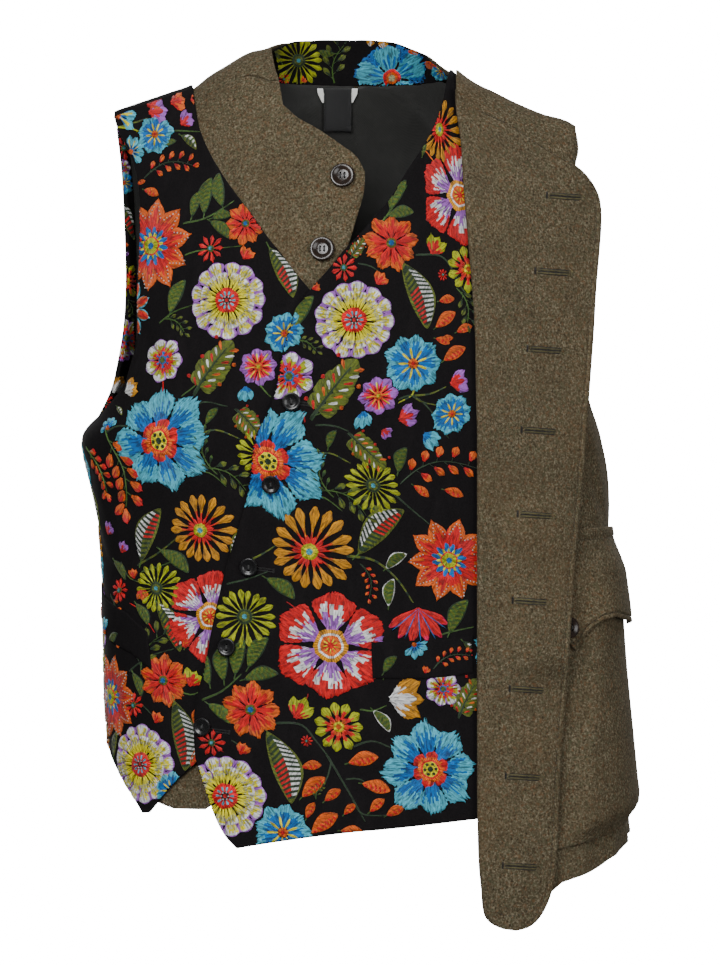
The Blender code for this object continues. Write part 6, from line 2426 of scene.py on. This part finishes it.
def velvet_paint():
    paint = Paint("black_velvet", 0.95, Sheen_Weight=0.1, Sheen_Roughness=0.4, Specular_IOR_Level=0.08)
    paint.shader.inputs["Sheen Tint"].default_value = (*linear((70, 68, 68)), 1)
    pile = paint.noise(1100, 3.0, 0.7)
    brushed = paint.noise(60, 4.0, 0.65, paint.place((1, 1, 0.35)))
    base = paint.ramp(pile, (0.3, linear((7, 6, 7))), (0.7, linear((20, 18, 19))))
    base = paint.over(base, brushed, (0.5, 0), (0.8, 0.3), linear((30, 27, 28)))
    paint.colour(base)
    paint.bump(pile, 0.4, 0.0005)
    return paint.material


def lining_paint():
    paint = Paint("charcoal_twill_lining", 0.55, Sheen_Weight=0.1, Specular_IOR_Level=0.3)
    twill = paint.wave(420, paint.place((1, 1, 1), (0, 0, 0.8), "UV"), 0.3)
    base = paint.ramp(twill, (0.2, linear((20, 20, 19))), (0.8, linear((33, 33, 31))))
    cloud = paint.noise(60, 3.0, 0.6)
    base = paint.over(base, cloud, (0.4, 0), (0.75, 0.4), linear((40, 40, 38)))
    paint.colour(base)
    paint.bump(twill, 0.3, 0.0003)
    paint.bump(cloud, 0.25, 0.002)
    return paint.material


def thread_paint(name):
    """Embroidery floss: the stitches run along each petal or leaf, with the colours in its mesh."""
    paint = Paint(name, 0.5, Sheen_Weight=0.05, Specular_IOR_Level=0.25)
    colour = paint.node("ShaderNodeVertexColor", layer_name="thread").outputs["Color"]
    uv = paint.place((1, 1, 1), (0, 0, 0), "UV")
    strands = paint.wave(480, uv, 2.0, 2.0)
    streaks = paint.noise(820, 2.0, 0.6, paint.place((1, 0.16, 1), (0, 0, 0), "UV"))
    shade = paint.ramp(strands, (0.12, (0.22, 0.22, 0.22)), (0.5, (1, 1, 1)))
    base = paint.mix(0.7, colour, shade, "MULTIPLY")
    dark = paint.ramp(streaks, (0.4, (0.22, 0.22, 0.22)), (0.5, (1, 1, 1)))
    paint.colour(paint.mix(0.8, base, dark, "MULTIPLY"))
    paint.bump(strands, 0.8, 0.0006)
    paint.bump(streaks, 0.9, 0.0009)
    return paint.material


def cord_paint(name, colour):
    """Plain sewing thread, with its twist."""
    paint = Paint(name, 0.7, Sheen_Weight=0.1)
    twist = paint.noise(1400, 2.0, 0.6)
    light, dark = linear(colour), tuple(c * 0.55 for c in linear(colour))
    paint.colour(paint.ramp(twist, (0.35, dark), (0.65, light)))
    paint.bump(twist, 0.5, 0.0003)
    return paint.material


def horn_paint(name, dark, light, roughness):
    """Polished horn or resin with faint streaks and fine scratches."""
    paint = Paint(name, roughness, Coat_Weight=0.02, Coat_Roughness=0.1, Specular_IOR_Level=0.28)
    streak = paint.noise(170, 5.0, 0.6, paint.place((1, 1, 0.3), (0, 0.6, 0)))
    paint.colour(paint.ramp(streak, (0.35, linear(dark)), (0.7, linear(light))))
    scratch = paint.noise(900, 3.0, 0.6)
    paint.rough(paint.ramp(scratch, (0.3, 3 * (roughness * 0.8,)), (0.7, 3 * (roughness * 1.5,))))
    paint.bump(scratch, 0.08, 0.0002)
    return paint.material


def satin_paint(name, colour):
    paint = Paint(name, 0.4, Sheen_Weight=0.1, Specular_IOR_Level=0.45)
    weft = paint.wave(900, paint.place((1, 1, 1), (0, 0, 1.5708), "UV"), 0.4)
    light = tuple(c * 1.5 for c in linear(colour))
    paint.colour(paint.ramp(weft, (0.3, linear(colour)), (0.8, light)))
    paint.bump(weft, 0.3, 0.0002)
    return paint.material


def tape_paint():
    paint = Paint("white_woven_tape", 0.75, Sheen_Weight=0.1)
    weft = paint.wave(1000, paint.place((1, 1, 1), (0, 0, 1.5708), "UV"), 0.6)
    paint.colour(paint.ramp(weft, (0.2, linear((196, 196, 192))), (0.8, linear((240, 240, 236)))))
    paint.bump(weft, 0.5, 0.0003)
    return paint.material


# ---------------------------------------------------------------- stage

CAMERA_DISTANCE = 13.5
IMAGE_HEIGHT = 0.5832 * 965 / 720  # metres up the picture at the garment's front
FRONT_DEPTH = 0.06
VIEW_HEIGHT = -0.334
FLOOR_HEIGHT = -1.25
ROOM_RADIUS, ROOM_CURVE, ROOM_TOP = 22.0, 2.0, 9.0


def stage_paint():
    paint = Paint("pale_paper", 0.9)
    grain = paint.noise(9, 2.0)
    pale = paint.ramp(grain, (0.3, (0.9, 0.9, 0.9)), (0.7, (0.92, 0.92, 0.92)))
    paint.colour(pale)
    paint.tree.links.new(pale, paint.shader.inputs["Emission Color"])
    paint.shader.inputs["Emission Strength"].default_value = 19.0
    return paint.material


def studio():
    """A round room of evenly lit pale paper, soft lights and the camera."""
    profile = [(0.01, FLOOR_HEIGHT), (ROOM_RADIUS - ROOM_CURVE, FLOOR_HEIGHT)]
    for k in range(1, 13):
        angle = math.pi / 2 * k / 12
        out, up = ROOM_CURVE * math.sin(angle), ROOM_CURVE * (1 - math.cos(angle))
        profile.append((ROOM_RADIUS - ROOM_CURVE + out, FLOOR_HEIGHT + up))
    profile.append((ROOM_RADIUS, ROOM_TOP))
    turns = np.linspace(0, 2 * math.pi, 96, endpoint=False)
    points = [(r * math.cos(turn), r * math.sin(turn), z) for r, z in profile for turn in turns]
    faces = [tuple(face) for face in ring_faces(len(profile), len(turns))]
    mesh = bpy.data.meshes.new("paper_room")
    mesh.from_pydata(points, [], [*faces, tuple(range(len(turns)))])
    mesh.materials.append(stage_paint())
    mesh.shade_smooth()
    floor = bpy.data.objects.new("paper_room", mesh)
    bpy.context.scene.collection.objects.link(floor)
    # The bright paper is seen, but throws no light on the garment's sides
    floor.visible_diffuse = False
    floor.visible_glossy = False
    floor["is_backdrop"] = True

    world = bpy.data.worlds.new("studio")
    bpy.context.scene.world = world
    world.use_nodes = True
    world.node_tree.nodes["Background"].inputs["Color"].default_value = (1, 1, 1, 1)
    world.node_tree.nodes["Background"].inputs["Strength"].default_value = 0.25

    def soft_light(name, place, size, power):
        light = bpy.data.lights.new(name, "AREA")
        light.shape = "DISK"
        light.size = size
        light.energy = power
        obj = bpy.data.objects.new(name, light)
        obj.location = place
        aim = Vector((0, 0, VIEW_HEIGHT)) - Vector(place)
        obj.rotation_euler = aim.to_track_quat("-Z", "Y").to_euler()
        bpy.context.scene.collection.objects.link(obj)

    # Name, place, size and power
    soft_light("key", (-1.1, -3.0, 1.3), 1.5, 160)
    soft_light("fill", (1.7, -2.8, 0.1), 2.0, 76)
    soft_light("top", (0.0, 0.2, 2.6), 1.4, 14)
    for side in (-1, 1):
        soft_light("back", (side * 1.3, 3.0, 0.9), 1.6, 70)

    camera = bpy.data.cameras.new("camera")
    camera.lens = camera.sensor_width * (CAMERA_DISTANCE - FRONT_DEPTH) / IMAGE_HEIGHT
    camera.clip_end = 80
    obj = bpy.data.objects.new("camera", camera)
    obj.location = (0, -CAMERA_DISTANCE, VIEW_HEIGHT)
    obj.rotation_euler = (math.pi / 2, 0, 0)
    bpy.context.scene.collection.objects.link(obj)
    bpy.context.scene.camera = obj


# ---------------------------------------------------------------- the garment

velvet = velvet_paint()
tweed = tweed_paint("olive_brown_tweed", 0.62)
lining = lining_paint()
label = satin_paint("black_label_satin", (12, 12, 13))
tape = tape_paint()

studio()

panels = {}
for build, material in (
    (embroidered_right_front, velvet),
    (embroidered_left_front, velvet),
    (tweed_right_front, tweed),
    (tweed_left_front, tweed),
    (tweed_back_right, tweed),
    (tweed_back_left, tweed),
    (lining_back_right, lining),
    (lining_back_left, lining),
    (neck_facing, velvet),
    (welt_left_front, velvet),
    (welt_right_front, velvet),
    (bellows_pocket, tweed),
    (pocket_flap, tweed),
    (blank_label, label),
    (hanger_loop, tape),
    (tweed_left_turnback, tweed),
    (armhole_facing_right, velvet),
):
    panels[build.__name__] = build(material)
thread = thread_paint("embroidery_floss")
embroider(panels, thread)
sew_trims(panels, thread)
sew_buttons()

CUT_SIZES = (
    # cloth: flat width, length and area in metres, how it is held, what it lies on or hangs from
    ("embroidered_right_front", 0.245, 0.700, 0.0985, "hung", ("tweed_right_front",)),
    ("embroidered_left_front", 0.355, 0.655, 0.1620, "hung", ("embroidered_right_front",)),
    ("tweed_right_front", 0.270, 0.685, 0.1140, "hung", ("tweed_back_right",)),
    ("tweed_left_front", 0.235, 0.755, 0.0985, "hung", ("embroidered_left_front",)),
    ("tweed_left_turnback", 0.138, 0.762, 0.0673, "folded", ("tweed_left_front",)),
    ("tweed_back_right", 0.262, 0.648, 0.1335, "hung", ("lining_back_right",)),
    ("tweed_back_left", 0.236, 0.642, 0.1335, "hung", ("lining_back_left",)),
    ("lining_back_right", 0.256, 0.632, 0.1145, "hung", ("tweed_back_right",)),
    ("lining_back_left", 0.236, 0.622, 0.1238, "hung", ("tweed_back_left",)),
    ("neck_facing", 0.043, 0.165, 0.0053, "laid", ("lining_back_right", "lining_back_left")),
    ("armhole_facing_right", 0.084, 0.264, 0.0070, "laid", ("lining_back_right",)),
    ("welt_left_front", 0.032, 0.082, 0.0025, "laid", ("embroidered_left_front",)),
    ("welt_right_front", 0.033, 0.117, 0.0036, "laid", ("embroidered_right_front",)),
    ("bellows_pocket", 0.165, 0.205, 0.0335, "laid", ("tweed_left_front",)),
    ("pocket_flap", 0.100, 0.136, 0.0123, "hung", ("bellows_pocket",)),
    ("blank_label", 0.024, 0.039, 0.0009, "laid", ("lining_back_right",)),
)
for name, width, length, area, held, rests_on in CUT_SIZES:
    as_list(rests_on)

sizes = {"cad": cad_box, "visual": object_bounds()}
{key: [[float(v) for v in corner] for corner in box] for key, box in sizes.items()}
